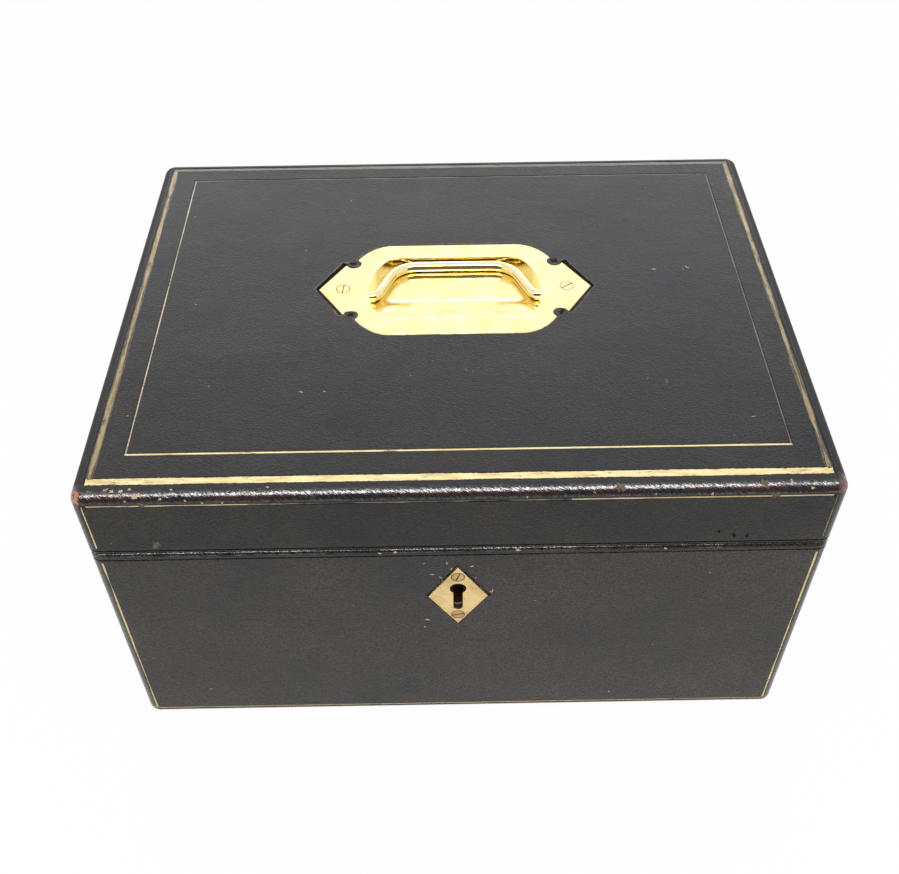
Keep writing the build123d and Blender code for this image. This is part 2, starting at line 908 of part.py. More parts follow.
def make_tray_pads():
    """One stuffed pad in the floor of each open compartment."""
    inner = tray_side - tray_wall - cushion_margin
    near = divider_spacing / 2 + tray_wall / 2 + cushion_margin
    middle = divider_spacing / 2 - tray_wall / 2 - cushion_margin
    y_range = (tray_front + tray_wall + cushion_margin, ring_row_front - tray_wall - cushion_margin)
    low = tray_bottom + tray_floor
    return {
        "tray_pad_left": cushion((-inner, -near), y_range, low, tray_cushion),
        "tray_pad_middle": cushion((-middle, middle), y_range, low, tray_cushion),
        "tray_pad_right": cushion((near, inner), y_range, low, tray_cushion),
    }


def make_ring_cushion():
    """Stuffed rolls side by side on one base. Rings stand in the furrows between them."""
    half = tray_side - tray_wall - cushion_margin
    front = ring_row_front + cushion_margin
    depth = ring_row_depth - 2 * cushion_margin
    pitch = depth / ring_roll_count
    radius = pitch / 2 - 0.15
    low = tray_bottom + tray_floor
    pad = block((-half, half), (front, front + depth), (low, low + ring_roll_rise))
    roll = Cylinder(radius, 2 * half, rotation=(0, 90, 0))
    roll = fillet(roll.edges().filter_by(GeomType.CIRCLE), radius=0.7 * radius)
    for i in range(ring_roll_count):
        pad += Pos(0, front + (i + 0.5) * pitch, low + ring_roll_rise) * roll
    return pad


def make_tray_tabs():
    """The two ribbon tabs that the tray is lifted by."""
    tabs = []
    top = tray_top + tab_rise
    for side in (-1, 1):
        inner = side * (tray_side - tray_wall - tab_thickness / 2)
        tab = Pos(inner, centre_y, top - tab_height / 2) * Box(tab_thickness, tab_width, tab_height)
        upper = tab.edges().filter_by(Axis.X).group_by(Axis.Z)[-1]
        tabs.append(fillet(upper, radius=tab_width / 2 - 0.5))
    return Compound(children=tabs)


def make_tray_bottom():
    return block((-tray_side, tray_side), (tray_front, tray_back), (tray_bottom, tray_bottom + tray_floor))


def all_pieces():
    """Every piece by its name."""
    base_core = base_boards()
    lid_core = lid_boards()
    pieces = {
        "base_bottom_cover": make_bottom_cover(),
        "base_leather": make_base_leather(),
        "base_bottom_board": base_core & everywhere(0, base_floor),
        "upper_lining": make_upper_lining(),
        "base_floor_pad": make_base_floor_pad(),
        "lock_case": make_lock_case(),
        "lock_cap": make_lock_cap(),
        "lock_cap_screws": make_lock_cap_screws(),
        "lock_bolt": make_lock_bolt(),
        "escutcheon": make_escutcheon(),
        "escutcheon_screws": make_escutcheon_screws(),
        "hinge_base_screws": make_hinge_screws(True),
        "hinge_lid_screws": make_hinge_screws(False),
        "lid_leather": make_lid_leather(),
        "lid_top_board": lid_core & everywhere(lid_ceiling, case_height),
        "lid_lining": make_lid_lining(),
        "lid_pad": make_lid_pad(),
        "link_plate": make_link_plate(),
        "link_plate_screws": make_link_screws(),
        "handle_plate": make_handle_plate(),
        "handle_screws": make_handle_screws(),
        "handle_bail": make_handle_bail(),
        "tray_bottom": make_tray_bottom(),
        "ring_cushion": make_ring_cushion(),
        "tray_lift_tabs": make_tray_tabs(),
    }
    for side, wall in wall_boards(base_core, base_floor, base_top).items():
        pieces[f"base_{side}_board"] = wall
    for side, rail in wall_boards(lid_core, lid_bottom, lid_ceiling).items():
        pieces[f"lid_{side}_rail"] = rail
    for side, (x_range, y_range) in lower_lining_ranges().items():
        panel = block(x_range, y_range, (base_floor, ledge_height))
        pieces[f"lower_lining_{side}"] = panel - lock_window()
    for side, middle in zip(("left", "right"), hinge_x):
        base_places = list(hinge_screw_places(middle, True))
        lid_places = list(hinge_screw_places(middle, False))
        pieces[f"hinge_{side}_base_leaf"] = make_hinge_leaf(middle, 0, base_leaf_range, base_places)
        pieces[f"hinge_{side}_lid_leaf"] = make_hinge_leaf(middle, 1, lid_leaf_range, lid_places)
        pieces[f"hinge_{side}_pin"] = along_x(hinge_pin_radius, span(middle, hinge_width))
    pieces.update(make_tray_walls())
    pieces.update(make_tray_dividers())
    pieces.update(make_tray_pads())
    return pieces


def export_all(pieces):
    os.makedirs("parts", exist_ok=True)
    for name, shape in pieces.items():
        export_step(shape, f"parts/{name}.step")


export_all(all_pieces())
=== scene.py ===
import json
import random
from math import cos, exp, hypot, pi, sin

import bmesh
import bpy
from mathutils import Matrix, Vector, noise


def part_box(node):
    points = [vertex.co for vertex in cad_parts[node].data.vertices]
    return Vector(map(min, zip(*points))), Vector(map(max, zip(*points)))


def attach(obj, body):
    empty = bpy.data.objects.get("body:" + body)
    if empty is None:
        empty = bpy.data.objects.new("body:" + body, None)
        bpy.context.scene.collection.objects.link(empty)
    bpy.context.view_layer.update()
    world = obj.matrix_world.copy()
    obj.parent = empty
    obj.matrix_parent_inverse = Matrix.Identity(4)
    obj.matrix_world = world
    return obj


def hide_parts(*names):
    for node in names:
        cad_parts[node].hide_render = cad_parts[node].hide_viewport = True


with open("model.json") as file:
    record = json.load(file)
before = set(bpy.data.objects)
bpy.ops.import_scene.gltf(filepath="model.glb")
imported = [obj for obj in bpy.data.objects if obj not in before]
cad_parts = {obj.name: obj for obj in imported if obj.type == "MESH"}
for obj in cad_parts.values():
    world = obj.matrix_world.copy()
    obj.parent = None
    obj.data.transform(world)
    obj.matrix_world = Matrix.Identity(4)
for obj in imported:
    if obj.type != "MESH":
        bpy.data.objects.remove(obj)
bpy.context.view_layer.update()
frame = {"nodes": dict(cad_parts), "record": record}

MM = 0.001

# The case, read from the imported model
LID_LOW, LID_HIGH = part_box("lid_leather")
BASE_LOW, BASE_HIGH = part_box("base_leather")
SIDE_X = LID_HIGH.x
FRONT_Y = LID_LOW.y
BACK_Y = LID_HIGH.y
SEAM_Z = (LID_LOW.z + BASE_HIGH.z) / 2
TOP_Z = LID_HIGH.z

# The photograph's view
CAMERA_AT = Vector((-0.0054, -0.3645, 0.4411))
CAMERA_FORWARD = Vector((0.00494, 0.69330, -0.72063))
CAMERA_UP = Vector((0.01616, 0.72049, 0.69328))
CAMERA_LENS = 43.85

# Tooled lines, as pressed into the leather
TOOLING_DEPTH = 0.2 * MM
WIDE_LINE, WIDE_INSET_X, WIDE_INSET_FRONT, WIDE_INSET_BACK = 3.4 * MM, 6.4 * MM, 8.0 * MM, 6.2 * MM
FINE_LINE, FINE_INSET_X, FINE_INSET_FRONT, FINE_INSET_BACK = 1.1 * MM, 17.3 * MM, 21.3 * MM, 15.6 * MM
EDGE_LINE, EDGE_INSET = 0.9 * MM, 4.4 * MM
LID_LINE_DROP = 4.6 * MM
FOOT_LINE_HEIGHT = 4.0 * MM
LID_CREASE_RISE = 1.7 * MM
BASE_CREASE_DROP = 3.3 * MM
TOP_ROUND = 4.5 * MM
TOP_QUARTER = TOP_ROUND * pi / 2
GILT_LIFT = 0.04 * MM

# The lid's pad: its buttons' spacing, the hollow and the dimple at each, and the folds between them
TUFT_X, TUFT_Y = 29 * MM, 25 * MM
HOLLOW, HOLLOW_REACH = 3.6 * MM, 7.5 * MM
DIMPLE, DIMPLE_REACH = 1.2 * MM, 3.0 * MM
FOLD, FOLD_REACH = 1.5 * MM, 1.5 * MM

# The ring cushion's rolls, the ribbons' thickness when folded, and the case's sides
RING_ROLLS = 5
FURROW, FURROW_REACH = 3.2 * MM, 1.5 * MM
RIBBON_STACK, RIBBON_COLUMNS = 0.9 * MM, 14
SIDES = ("front", "back", "left", "right")

# Colours
BLACK = (0.007, 0.0075, 0.009)
SOFT_BLACK = (0.012, 0.011, 0.010)
TOP_DUST = (0.0180, 0.0198, 0.0236)
BROWN_DUST = (0.0235, 0.0200, 0.0192)
SIDE_DUST = (0.0320, 0.0296, 0.0262)
GREY_DUST = (0.057, 0.048, 0.034)
WORN_BROWN = (0.045, 0.014, 0.008)
WORN_TAN = (0.42, 0.155, 0.06)
FOOT_TAN = (0.32, 0.21, 0.12)
BARE_HIDE = (0.55, 0.40, 0.24)
BRIGHT_GILT = (0.84, 0.72, 0.39)
WARM_GILT = (0.62, 0.46, 0.21)
DULL_GILT = (0.36, 0.29, 0.16)
BROWN_GILT = (0.20, 0.14, 0.075)

# The places of the colour sockets in a mix node
MIX_SHARE, MIX_A, MIX_B, MIX_RESULT = 0, 6, 7, 2


class Nodes:
    """Short calls that build the node tree of a material, or of the world."""

    def __init__(self, name, world=False):
        self.owner = (bpy.data.worlds if world else bpy.data.materials).new(name)
        self.owner.use_nodes = True
        self.tree = self.owner.node_tree
        self.tree.nodes.clear()
        self.out = self.add("ShaderNodeOutputWorld" if world else "ShaderNodeOutputMaterial")
        self.place = self.add("ShaderNodeTexCoord").outputs["Object"]

    def add(self, kind, inputs=(), **settings):
        node = self.tree.nodes.new(kind)
        for key, value in settings.items():
            setattr(node, key, value)
        for key, value in dict(inputs).items():
            self.feed(node.inputs[key], value)
        return node

    def feed(self, socket, value):
        if isinstance(value, bpy.types.NodeSocket):
            self.tree.links.new(value, socket)
        elif isinstance(value, tuple) and len(value) == 3 and socket.type == "RGBA":
            socket.default_value = (*value, 1)
        else:
            socket.default_value = value

    def stretched(self, scale, turn=0.0):
        inputs = {"Vector": self.place, "Scale": scale, "Rotation": (0, 0, turn)}
        return self.add("ShaderNodeMapping", inputs).outputs[0]

    def slanted(self, slope, stretch):
        """A place that runs along slanted lines, the same way on the top and on the front."""
        x, y, z = self.axes()
        rise = self.plus(y, z)
        across = self.plus(self.times(x, sin(slope)), self.times(rise, cos(slope)))
        along = self.less(self.times(x, cos(slope)), self.times(rise, sin(slope)))
        along = self.math("DIVIDE", along, stretch)
        inputs = {"X": across, "Y": along, "Z": self.less(z, y)}
        return self.add("ShaderNodeCombineXYZ", inputs).outputs[0]

    def noise(self, size, detail=2.0, rough=0.5, twist=0.0, place=None):
        """Smooth noise whose features are about that size, in metres."""
        inputs = {"Vector": place or self.place, "Scale": 1 / size, "Detail": detail}
        inputs.update({"Roughness": rough, "Distortion": twist})
        return self.add("ShaderNodeTexNoise", inputs).outputs["Fac"]

    def cells(self, size, place=None):
        """The distance from the middle of the nearest cell, in cells."""
        inputs = {"Vector": place or self.place, "Scale": 1 / size}
        return self.add("ShaderNodeTexVoronoi", inputs).outputs["Distance"]

    def math(self, what, a, b=0.0):
        return self.add("ShaderNodeMath", {0: a, 1: b}, operation=what).outputs[0]

    def plus(self, a, b):
        return self.math("ADD", a, b)

    def less(self, a, b):
        return self.math("SUBTRACT", a, b)

    def times(self, a, b):
        return self.math("MULTIPLY", a, b)

    def most(self, a, b):
        return self.math("MAXIMUM", a, b)

    def smooth(self, value, low, high):
        """0 below low, 1 above high, with a soft step between. It may run the other way."""
        ends = {"Value": value, "From Min": min(low, high), "From Max": max(low, high)}
        ends["To Min"], ends["To Max"] = (0.0, 1.0) if low < high else (1.0, 0.0)
        return self.add("ShaderNodeMapRange", ends, interpolation_type="SMOOTHSTEP").outputs[0]

    def mix(self, share, a, b):
        """A colour that goes from a to b as share goes from 0 to 1."""
        inputs = {MIX_SHARE: share, MIX_A: a, MIX_B: b}
        return self.add("ShaderNodeMix", inputs, data_type="RGBA").outputs[MIX_RESULT]

    def between(self, share, a, b):
        """A number that goes from a to b as share goes from 0 to 1."""
        ends = {"Value": share, "From Min": 0.0, "From Max": 1.0, "To Min": a, "To Max": b}
        return self.add("ShaderNodeMapRange", ends).outputs[0]

    def bump(self, height, distance, normal=None):
        inputs = {"Height": height, "Distance": distance}
        if normal is not None:
            inputs["Normal"] = normal
        return self.add("ShaderNodeBump", inputs).outputs[0]

    def show(self, shader):
        """Makes a shader the tree's result, and gives back the material or the world."""
        self.tree.links.new(shader.outputs[0], self.out.inputs["Surface"])
        return self.owner

    def surface(self, **inputs):
        names = {key.replace("_", " "): value for key, value in inputs.items()}
        return self.show(self.add("ShaderNodeBsdfPrincipled", names))

    def seen(self):
        """1 for what the camera sees, straight, in a reflection or through something clear."""
        path = self.add("ShaderNodeLightPath").outputs
        seen = self.most(path["Is Camera Ray"], path["Is Glossy Ray"])
        return self.most(seen, path["Is Transmission Ray"])

    def axes(self):
        split = self.add("ShaderNodeSeparateXYZ", {"Vector": self.place}).outputs
        return split["X"], split["Y"], split["Z"]

    def band(self, value, low, high, soft):
        """1 where the value is between two limits, with soft ends."""
        inside = self.smooth(value, low - soft, low)
        return self.times(inside, self.smooth(value, high + soft, high))


def case_edges(n, low_z, high_z, full, none):
    """How near a point of the case's skin is to an edge, and to a corner."""
    x, y, z = n.axes()
    side = n.smooth(n.less(SIDE_X, n.math("ABSOLUTE", x)), none, full)
    front = n.smooth(n.less(y, FRONT_Y), none, full)
    back = n.smooth(n.less(BACK_Y, y), none, full)
    top = n.smooth(n.less(high_z, z), none, full)
    foot = n.smooth(n.less(z, low_z), none, full)
    level = n.most(top, foot)
    end = n.most(front, back)
    upright = n.times(side, end)
    edge = n.most(n.times(n.most(side, end), level), upright)
    return edge, n.times(upright, level)


def leather_colour(n, hatch, dust):
    """Black hide with grey dust in its grain, browner in some patches."""
    _, _, z = n.axes()
    patch = n.noise(45 * MM, detail=5, rough=0.62)
    colour = n.mix(n.smooth(patch, 0.36, 0.68), BLACK, SOFT_BLACK)
    dusty = n.times(n.smooth(hatch, 0.42, 0.60), n.smooth(patch, 0.10, 0.70))
    top_dust = n.mix(n.smooth(n.noise(70 * MM, detail=2), 0.46, 0.62), TOP_DUST, BROWN_DUST)
    dust = n.mix(n.smooth(z, TOP_Z - 5 * MM, TOP_Z - 2 * MM), dust, top_dust)
    return n.mix(dusty, colour, dust)


def worn_colour(n, colour, fleck, run, look):
    """Brown and bare leather along the outer edges and at the corners, and a few bare specks."""
    x, _, z = n.axes()
    tight, _ = case_edges(n, look["low"], look["high"], 0.9 * MM, 3.2 * MM)
    _, corner = case_edges(n, look["low"], look["high"], 3.0 * MM, 6.5 * MM)
    away = n.smooth(n.math("ABSOLUTE", n.less(z, look["worn_level"])), 14 * MM, 9 * MM)
    worn = n.times(tight, n.smooth(run, 0.25, 0.60))
    worn = n.times(n.most(worn, n.times(corner, 1.4)), away)
    ground = n.plus(fleck, n.times(worn, look["wear"]))
    colour = n.mix(n.smooth(ground, 0.66, 0.80), colour, WORN_BROWN)
    left = n.between(n.smooth(x, SIDE_X / 2, -SIDE_X / 2), 0.25, 1.0)
    colour = n.mix(n.times(n.smooth(ground, 0.94, 1.02), left), colour, look["bare"])
    speck = n.times(n.smooth(n.cells(13 * MM), 0.032, 0.016), n.smooth(n.noise(27 * MM), 0.50, 0.60))
    return n.mix(n.times(speck, 0.8), colour, BARE_HIDE)


def leather_relief(n, hatch, streak, shiny):
    """Fine slanted grain, flatter on the shiny edges, over slow creases."""
    slanted = n.slanted(0.80, 2.8)
    grain = n.noise(0.75 * MM, detail=3, rough=0.6, twist=0.3, place=slanted)
    pebble = n.cells(0.85 * MM, place=n.slanted(0.52, 1.8))
    crease = n.noise(4.4 * MM, detail=3, rough=0.6, place=slanted)
    normal = n.bump(n.less(grain, n.times(pebble, 0.25)), n.between(shiny, 0.20 * MM, 0.05 * MM))
    normal = n.bump(hatch, n.between(shiny, 0.09 * MM, 0.0), normal)
    normal = n.bump(streak, n.between(shiny, 0.0, 0.10 * MM), normal)
    normal = n.bump(crease, n.between(shiny, 0.10 * MM, 0.20 * MM), normal)
    return n.bump(n.noise(30 * MM, detail=2), 0.6 * MM, normal)


def leather_glaze(n, streak, run, shiny):
    """Where polish lies thick: on the lid's upper edges and, here and there, just below the seam."""
    _, _, z = n.axes()
    lip = n.band(z, SEAM_Z - 1.7 * MM, SEAM_Z - 0.5 * MM, 0.2 * MM)
    lip = n.times(lip, n.smooth(run, 0.42, 0.56))
    lip = n.most(lip, n.smooth(z, TOP_Z - 4.4 * MM, TOP_Z - 3.2 * MM))
    glaze = n.times(shiny, n.between(n.smooth(streak, 0.40, 0.62), 0.12, 1.0))
    return n.times(glaze, lip)


def leather_material(name, look):
    """Black glazed goatskin: fine slanted grain, glossy beads and brown wear on its outer edges, and painted
    shade along the seam.
    """
    n = Nodes(name)
    _, y, z = n.axes()
    edge, _ = case_edges(n, look["low"], look["high"], 2.4 * MM, 4.6 * MM)
    front_edge = n.times(edge, n.smooth(y, FRONT_Y + 8 * MM, FRONT_Y + 5 * MM))
    bead_low, bead_high = look["bead"]
    bead = n.band(z, bead_low, bead_high, 0.3 * MM)
    seam = n.band(z, SEAM_Z - 0.45 * MM, SEAM_Z + 0.8 * MM, 0.2 * MM)
    shiny = n.most(front_edge, bead)

    hatch = n.noise(0.60 * MM, detail=2, rough=0.5, place=n.slanted(0.90, 3.4))
    streak = n.noise(0.62 * MM, detail=4, rough=0.6, twist=0.5, place=n.slanted(1.0, 4.5))
    fleck = n.noise(1.7 * MM, detail=6, rough=0.74, twist=0.7)
    run = n.noise(21 * MM, detail=4, rough=0.62)
    colour = worn_colour(n, leather_colour(n, hatch, look["dust"]), fleck, run, look)
    # Painted shade: near-black in the gap at the seam, and partly so on the bead beside it.
    colour = n.mix(n.most(seam, n.times(bead, 0.4)), colour, (0.003, 0.003, 0.003))
    normal = leather_relief(n, hatch, streak, shiny)

    matt = n.less(edge, front_edge)
    gloss = n.plus(n.between(shiny, 0.34, 0.17), n.times(matt, 0.22))
    gloss = n.plus(gloss, n.times(n.smooth(fleck, 0.45, 0.8), 0.10))
    gloss = n.most(gloss, n.times(seam, 0.9))
    glaze = leather_glaze(n, streak, run, shiny)
    return n.surface(
        Base_Color=colour, Roughness=gloss, Normal=normal, Specular_IOR_Level=look["shine"],
        Coat_Weight=glaze, Coat_Roughness=0.14, Coat_IOR=2.1, Coat_Normal=normal,
    )


def hide_material(name, colour, dark, shine=0.5):
    """Bare or torn leather, rough and fibrous."""
    n = Nodes(name)
    fibre = n.noise(0.5 * MM, detail=5, rough=0.7)
    tone = n.mix(n.smooth(fibre, 0.35, 0.7), dark, colour)
    normal = n.bump(fibre, 0.15 * MM)
    return n.surface(Base_Color=tone, Roughness=0.7, Normal=normal, Specular_IOR_Level=shine)


def brass_material(name, colour, dull, gloss, stain, rims=(), depth_shade=None):
    """Brass with fine scratches, soft unevenness, stains and patchy dark rings round its screws, and, where
    asked, painted shade that darkens it with depth, as in its slots.
    """
    n = Nodes(name)
    cloud = n.noise(9 * MM, detail=5, rough=0.62)
    spots = n.noise(1.1 * MM, detail=5, rough=0.72)
    tone = n.mix(n.smooth(cloud, 0.35, 0.75), colour, dull)
    dirt_and_shade = n.times(n.smooth(spots, 0.55, 0.78), stain)
    for centre, radius in rims:
        away = n.add("ShaderNodeVectorMath", {0: n.place, 1: centre}, operation="DISTANCE").outputs["Value"]
        ring = n.band(away, radius - 0.20 * MM, radius + 0.22 * MM, 0.30 * MM)
        dirt_and_shade = n.most(dirt_and_shade, n.times(ring, n.between(spots, 0.40, 1.4)))
    # Painted shade: darker the deeper a point lies along the axis, from the lit level down to the shade
    # level.
    if depth_shade is not None:
        axis, lit_level, shade_level = depth_shade
        deep = n.smooth(n.axes()[axis], lit_level, shade_level)
        dirt_and_shade = n.most(dirt_and_shade, n.times(deep, 0.85))
    tone = n.mix(n.math("MINIMUM", dirt_and_shade, 1.0), tone, (0.17 * dull[0], 0.12 * dull[1], 0.08 * dull[2]))
    scratch = n.noise(0.6 * MM, detail=3, place=n.stretched((0.05, 1.0, 1.0), 0.25))
    rough = n.plus(gloss, n.times(n.smooth(scratch, 0.45, 0.75), 0.08))
    rough = n.plus(rough, n.times(dirt_and_shade, 0.25))
    normal = n.bump(n.noise(13 * MM, detail=2), 0.16 * MM)
    normal = n.bump(scratch, 0.008 * MM, normal=normal)
    return n.surface(Base_Color=tone, Metallic=1.0, Roughness=rough, Normal=normal)


def gilt_material(name, bright, dull, loss, along=(0.16, 1.0, 1.0), shine=0.55):
    """Gold leaf on leather, rubbed through in places to the black below."""
    n = Nodes(name)
    rub = n.noise(0.8 * MM, detail=6, rough=0.76, place=n.stretched(along))
    run = n.noise(24 * MM, detail=4)
    gone = n.smooth(n.plus(rub, n.times(run, 0.5)), loss, loss + 0.12)
    mottle = n.noise(1.5 * MM, detail=5, rough=0.7, place=n.stretched(along))
    tone = n.mix(n.smooth(mottle, 0.38, 0.70), bright, dull)
    tone = n.mix(gone, tone, SOFT_BLACK)
    normal = n.bump(rub, 0.05 * MM)
    metal = n.between(gone, shine, 0.0)
    return n.surface(Base_Color=tone, Metallic=metal, Roughness=0.40, Normal=normal)


def wood_material(name, pale, dark, gap_shade=None):
    """Figured board, nearly black past a given level on one axis: painted shade, where the board shows down a
    gap round a brass fitting.
    """
    n = Nodes(name)
    grain = n.noise(2.0 * MM, detail=5, rough=0.6, twist=0.8, place=n.stretched((0.05, 1.0, 1.0)))
    tone = n.mix(n.smooth(grain, 0.3, 0.75), pale, dark)
    # Painted shade: from the bare level to the covered level the board turns nearly black.
    if gap_shade is not None:
        axis, bare, covered = gap_shade
        tone = n.mix(n.smooth(n.axes()[axis], bare, covered), tone, (0.016, 0.013, 0.010))
    return n.surface(Base_Color=tone, Roughness=0.62, Normal=n.bump(grain, 0.08 * MM))


def velvet_material(name, pile, shade, sheen):
    """Short-pile velvet: crushed light and dark, with a soft sheen."""
    n = Nodes(name)
    crush = n.noise(14 * MM, detail=5, rough=0.6, twist=0.5)
    fibre = n.noise(0.4 * MM, detail=2)
    tone = n.mix(n.smooth(crush, 0.3, 0.7), shade, pile)
    tone = n.mix(n.times(n.smooth(fibre, 0.45, 0.7), 0.16), tone, sheen)
    normal = n.bump(fibre, 0.2 * MM)
    normal = n.bump(crush, 0.6 * MM, normal=normal)
    return n.surface(
        Base_Color=tone, Roughness=0.85, Normal=normal,
        Sheen_Weight=0.8, Sheen_Roughness=0.35, Sheen_Tint=(*sheen, 1),
    )


def silk_material(name, thread, shade):
    """Fine ribbed silk with a soft shine."""
    n = Nodes(name)
    _, y, _ = n.axes()
    rib = n.math("SINE", n.times(y, 2 * pi / (0.6 * MM)))
    slub = n.noise(2.5 * MM, detail=4, place=n.stretched((0.12, 1.0, 1.0)))
    tone = n.mix(n.smooth(slub, 0.3, 0.75), shade, thread)
    normal = n.bump(rib, 0.03 * MM)
    normal = n.bump(slub, 0.14 * MM, normal=normal)
    return n.surface(
        Base_Color=tone, Roughness=0.36, Normal=normal, Sheen_Weight=0.4, Sheen_Roughness=0.3,
    )


def steel_material(name):
    """Old steel with brown spots."""
    n = Nodes(name)
    spots = n.noise(1.6 * MM, detail=4)
    tone = n.mix(n.smooth(spots, 0.4, 0.75), (0.46, 0.45, 0.44), (0.20, 0.14, 0.10))
    return n.surface(Base_Color=tone, Metallic=1.0, Roughness=n.between(spots, 0.25, 0.55))


def floor_material():
    """White paper: white to the camera and in reflections, with the object's pale shadow."""
    n = Nodes("white_floor")
    fibres = n.noise(3 * MM, detail=3)
    tone = n.mix(fibres, (0.88, 0.88, 0.88), (0.92, 0.92, 0.92))
    paper = n.add("ShaderNodeBsdfDiffuse", {"Color": tone}).outputs[0]
    glow = n.add("ShaderNodeEmission", {"Color": (1.0, 1.0, 1.0), "Strength": 1.0}).outputs[0]
    return n.show(n.add("ShaderNodeMixShader", {0: n.times(n.seen(), 0.94), 1: paper, 2: glow}))


def make_world():
    """Pale surroundings that light the box, and show white to the camera and in reflections."""
    n = Nodes("world", world=True)
    dim, white = (
        n.add("ShaderNodeBackground", {"Color": (1, 1, 1), "Strength": strength}).outputs[0]
        for strength in (0.35, 1.0)
    )
    bpy.context.scene.world = n.show(n.add("ShaderNodeMixShader", {0: n.seen(), 1: dim, 2: white}))


def new_object(name, data):
    obj = bpy.data.objects.new(name, data)
    bpy.context.scene.collection.objects.link(obj)
    return obj


def soft_lamp(name, place, target, size, power):
    """A rectangular lamp, aimed at its target. Sizes in metres and power in watts."""
    lamp = bpy.data.lights.new(name, "AREA")
    lamp.shape = "RECTANGLE"
    lamp.size, lamp.size_y = size
    lamp.energy = power
    obj = new_object(name, lamp)
    obj.location = place
    obj.rotation_euler = (Vector(target) - Vector(place)).to_track_quat("-Z", "Y").to_euler()


def stage_sheet(name, corners, material):
    """A flat sheet of the stage."""
    mesh = bpy.data.meshes.new(name)
    mesh.from_pydata(corners, [], [(0, 1, 2, 3)])
    mesh.materials.append(material)
    sheet = new_object(name, mesh)
    return sheet


def make_grey_card():
    """A grey card in front, as a photographer stands there. It shows only in reflections."""
    y, wide, low, high = -1.5, 1.3, 0.0, 1.75
    n = Nodes("grey_card")
    felt = n.noise(8 * MM, detail=3)
    tone = n.mix(felt, (0.13, 0.12, 0.115), (0.19, 0.175, 0.165))
    corners = [(-wide, y, low), (wide, y, low), (wide, y, high), (-wide, y, high)]
    card = stage_sheet("grey_card", corners, n.surface(Base_Color=tone, Roughness=0.9))
    card.visible_camera = False
    card.visible_diffuse = False


def make_camera():
    """The photograph's own camera."""
    camera = bpy.data.cameras.new("camera")
    camera.sensor_fit = "HORIZONTAL"
    camera.sensor_width = 36.0
    camera.lens = CAMERA_LENS
    camera.clip_start = 0.01
    holder = new_object("camera", camera)
    right = CAMERA_FORWARD.cross(CAMERA_UP).normalized()
    up = right.cross(CAMERA_FORWARD).normalized()
    turn = Matrix((right, up, -CAMERA_FORWARD.normalized())).transposed()
    holder.matrix_world = Matrix.Translation(CAMERA_AT) @ turn.to_4x4()
    bpy.context.scene.camera = holder


def make_floor():
    reach, level = 3.0, -0.1 * MM
    corners = [(-reach, -reach, level), (reach, -reach, level), (reach, reach, level), (-reach, reach, level)]
    stage_sheet("floor", corners, floor_material())


def make_studio():
    """Camera, white floor, pale surroundings and soft lamps."""
    make_camera()
    make_floor()
    soft_lamp("lamp_above", place=(0, -0.62, 1.25), target=(0, -0.1, 0.1), size=(1.1, 0.26), power=14)
    soft_lamp("lamp_back", place=(0, 1.40, 0.90), target=(0, 0, 0.12), size=(2.4, 1.3), power=3.2)
    soft_lamp("lamp_low", place=(0, 1.42, 0.83), target=(0, 0, 0.14), size=(1.8, 0.18), power=6.6)
    make_grey_card()
    make_world()
    bpy.context.scene.view_settings.view_transform = "Standard"


PLATE_LOW, PLATE_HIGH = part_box("handle_plate")
PLATE_X = (PLATE_LOW.x + PLATE_HIGH.x) / 2
PLATE_Y = (PLATE_LOW.y + PLATE_HIGH.y) / 2
PLATE_Z = PLATE_HIGH.z
PLATE_SCREW_X, PLATE_HEAD = 47.9 * MM, 2.65 * MM
NOTCH_X, NOTCH_Y = 44.0 * MM, 17.5 * MM
LOZENGE_LOW, LOZENGE_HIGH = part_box("escutcheon")
LOZENGE_X = (LOZENGE_LOW.x + LOZENGE_HIGH.x) / 2
LOZENGE_Z = (LOZENGE_LOW.z + LOZENGE_HIGH.z) / 2
LOZENGE_PIN_RISE, LOZENGE_HEAD = 12.4 * MM, 2.4 * MM
# The gap beside the keyhole plate's upper edges, and the width of the painted shadow strips laid in it.
LOZENGE_GAP, LOZENGE_GAP_WIDTH = 0.85 * MM, 1.3 * MM
HOLE_ROOM = Vector((5, 5, 5)) * MM
YELLOW_BRASS, WARM_BRASS = (0.95, 0.82, 0.46), (0.91, 0.73, 0.33)
AGED_BRASS, BROWN_BRASS = (0.86, 0.64, 0.30), (0.62, 0.43, 0.19)
LOCK_BRASS, LOCK_BROWN = (0.74, 0.55, 0.26), (0.60, 0.42, 0.19)
PLATE_RIMS = [((PLATE_X + side * PLATE_SCREW_X, PLATE_Y, PLATE_Z), PLATE_HEAD) for side in (-1, 1)]
LOZENGE_RIMS = [
    ((LOZENGE_X, FRONT_Y, LOZENGE_Z + side * LOZENGE_PIN_RISE), LOZENGE_HEAD) for side in (-1, 1)
]

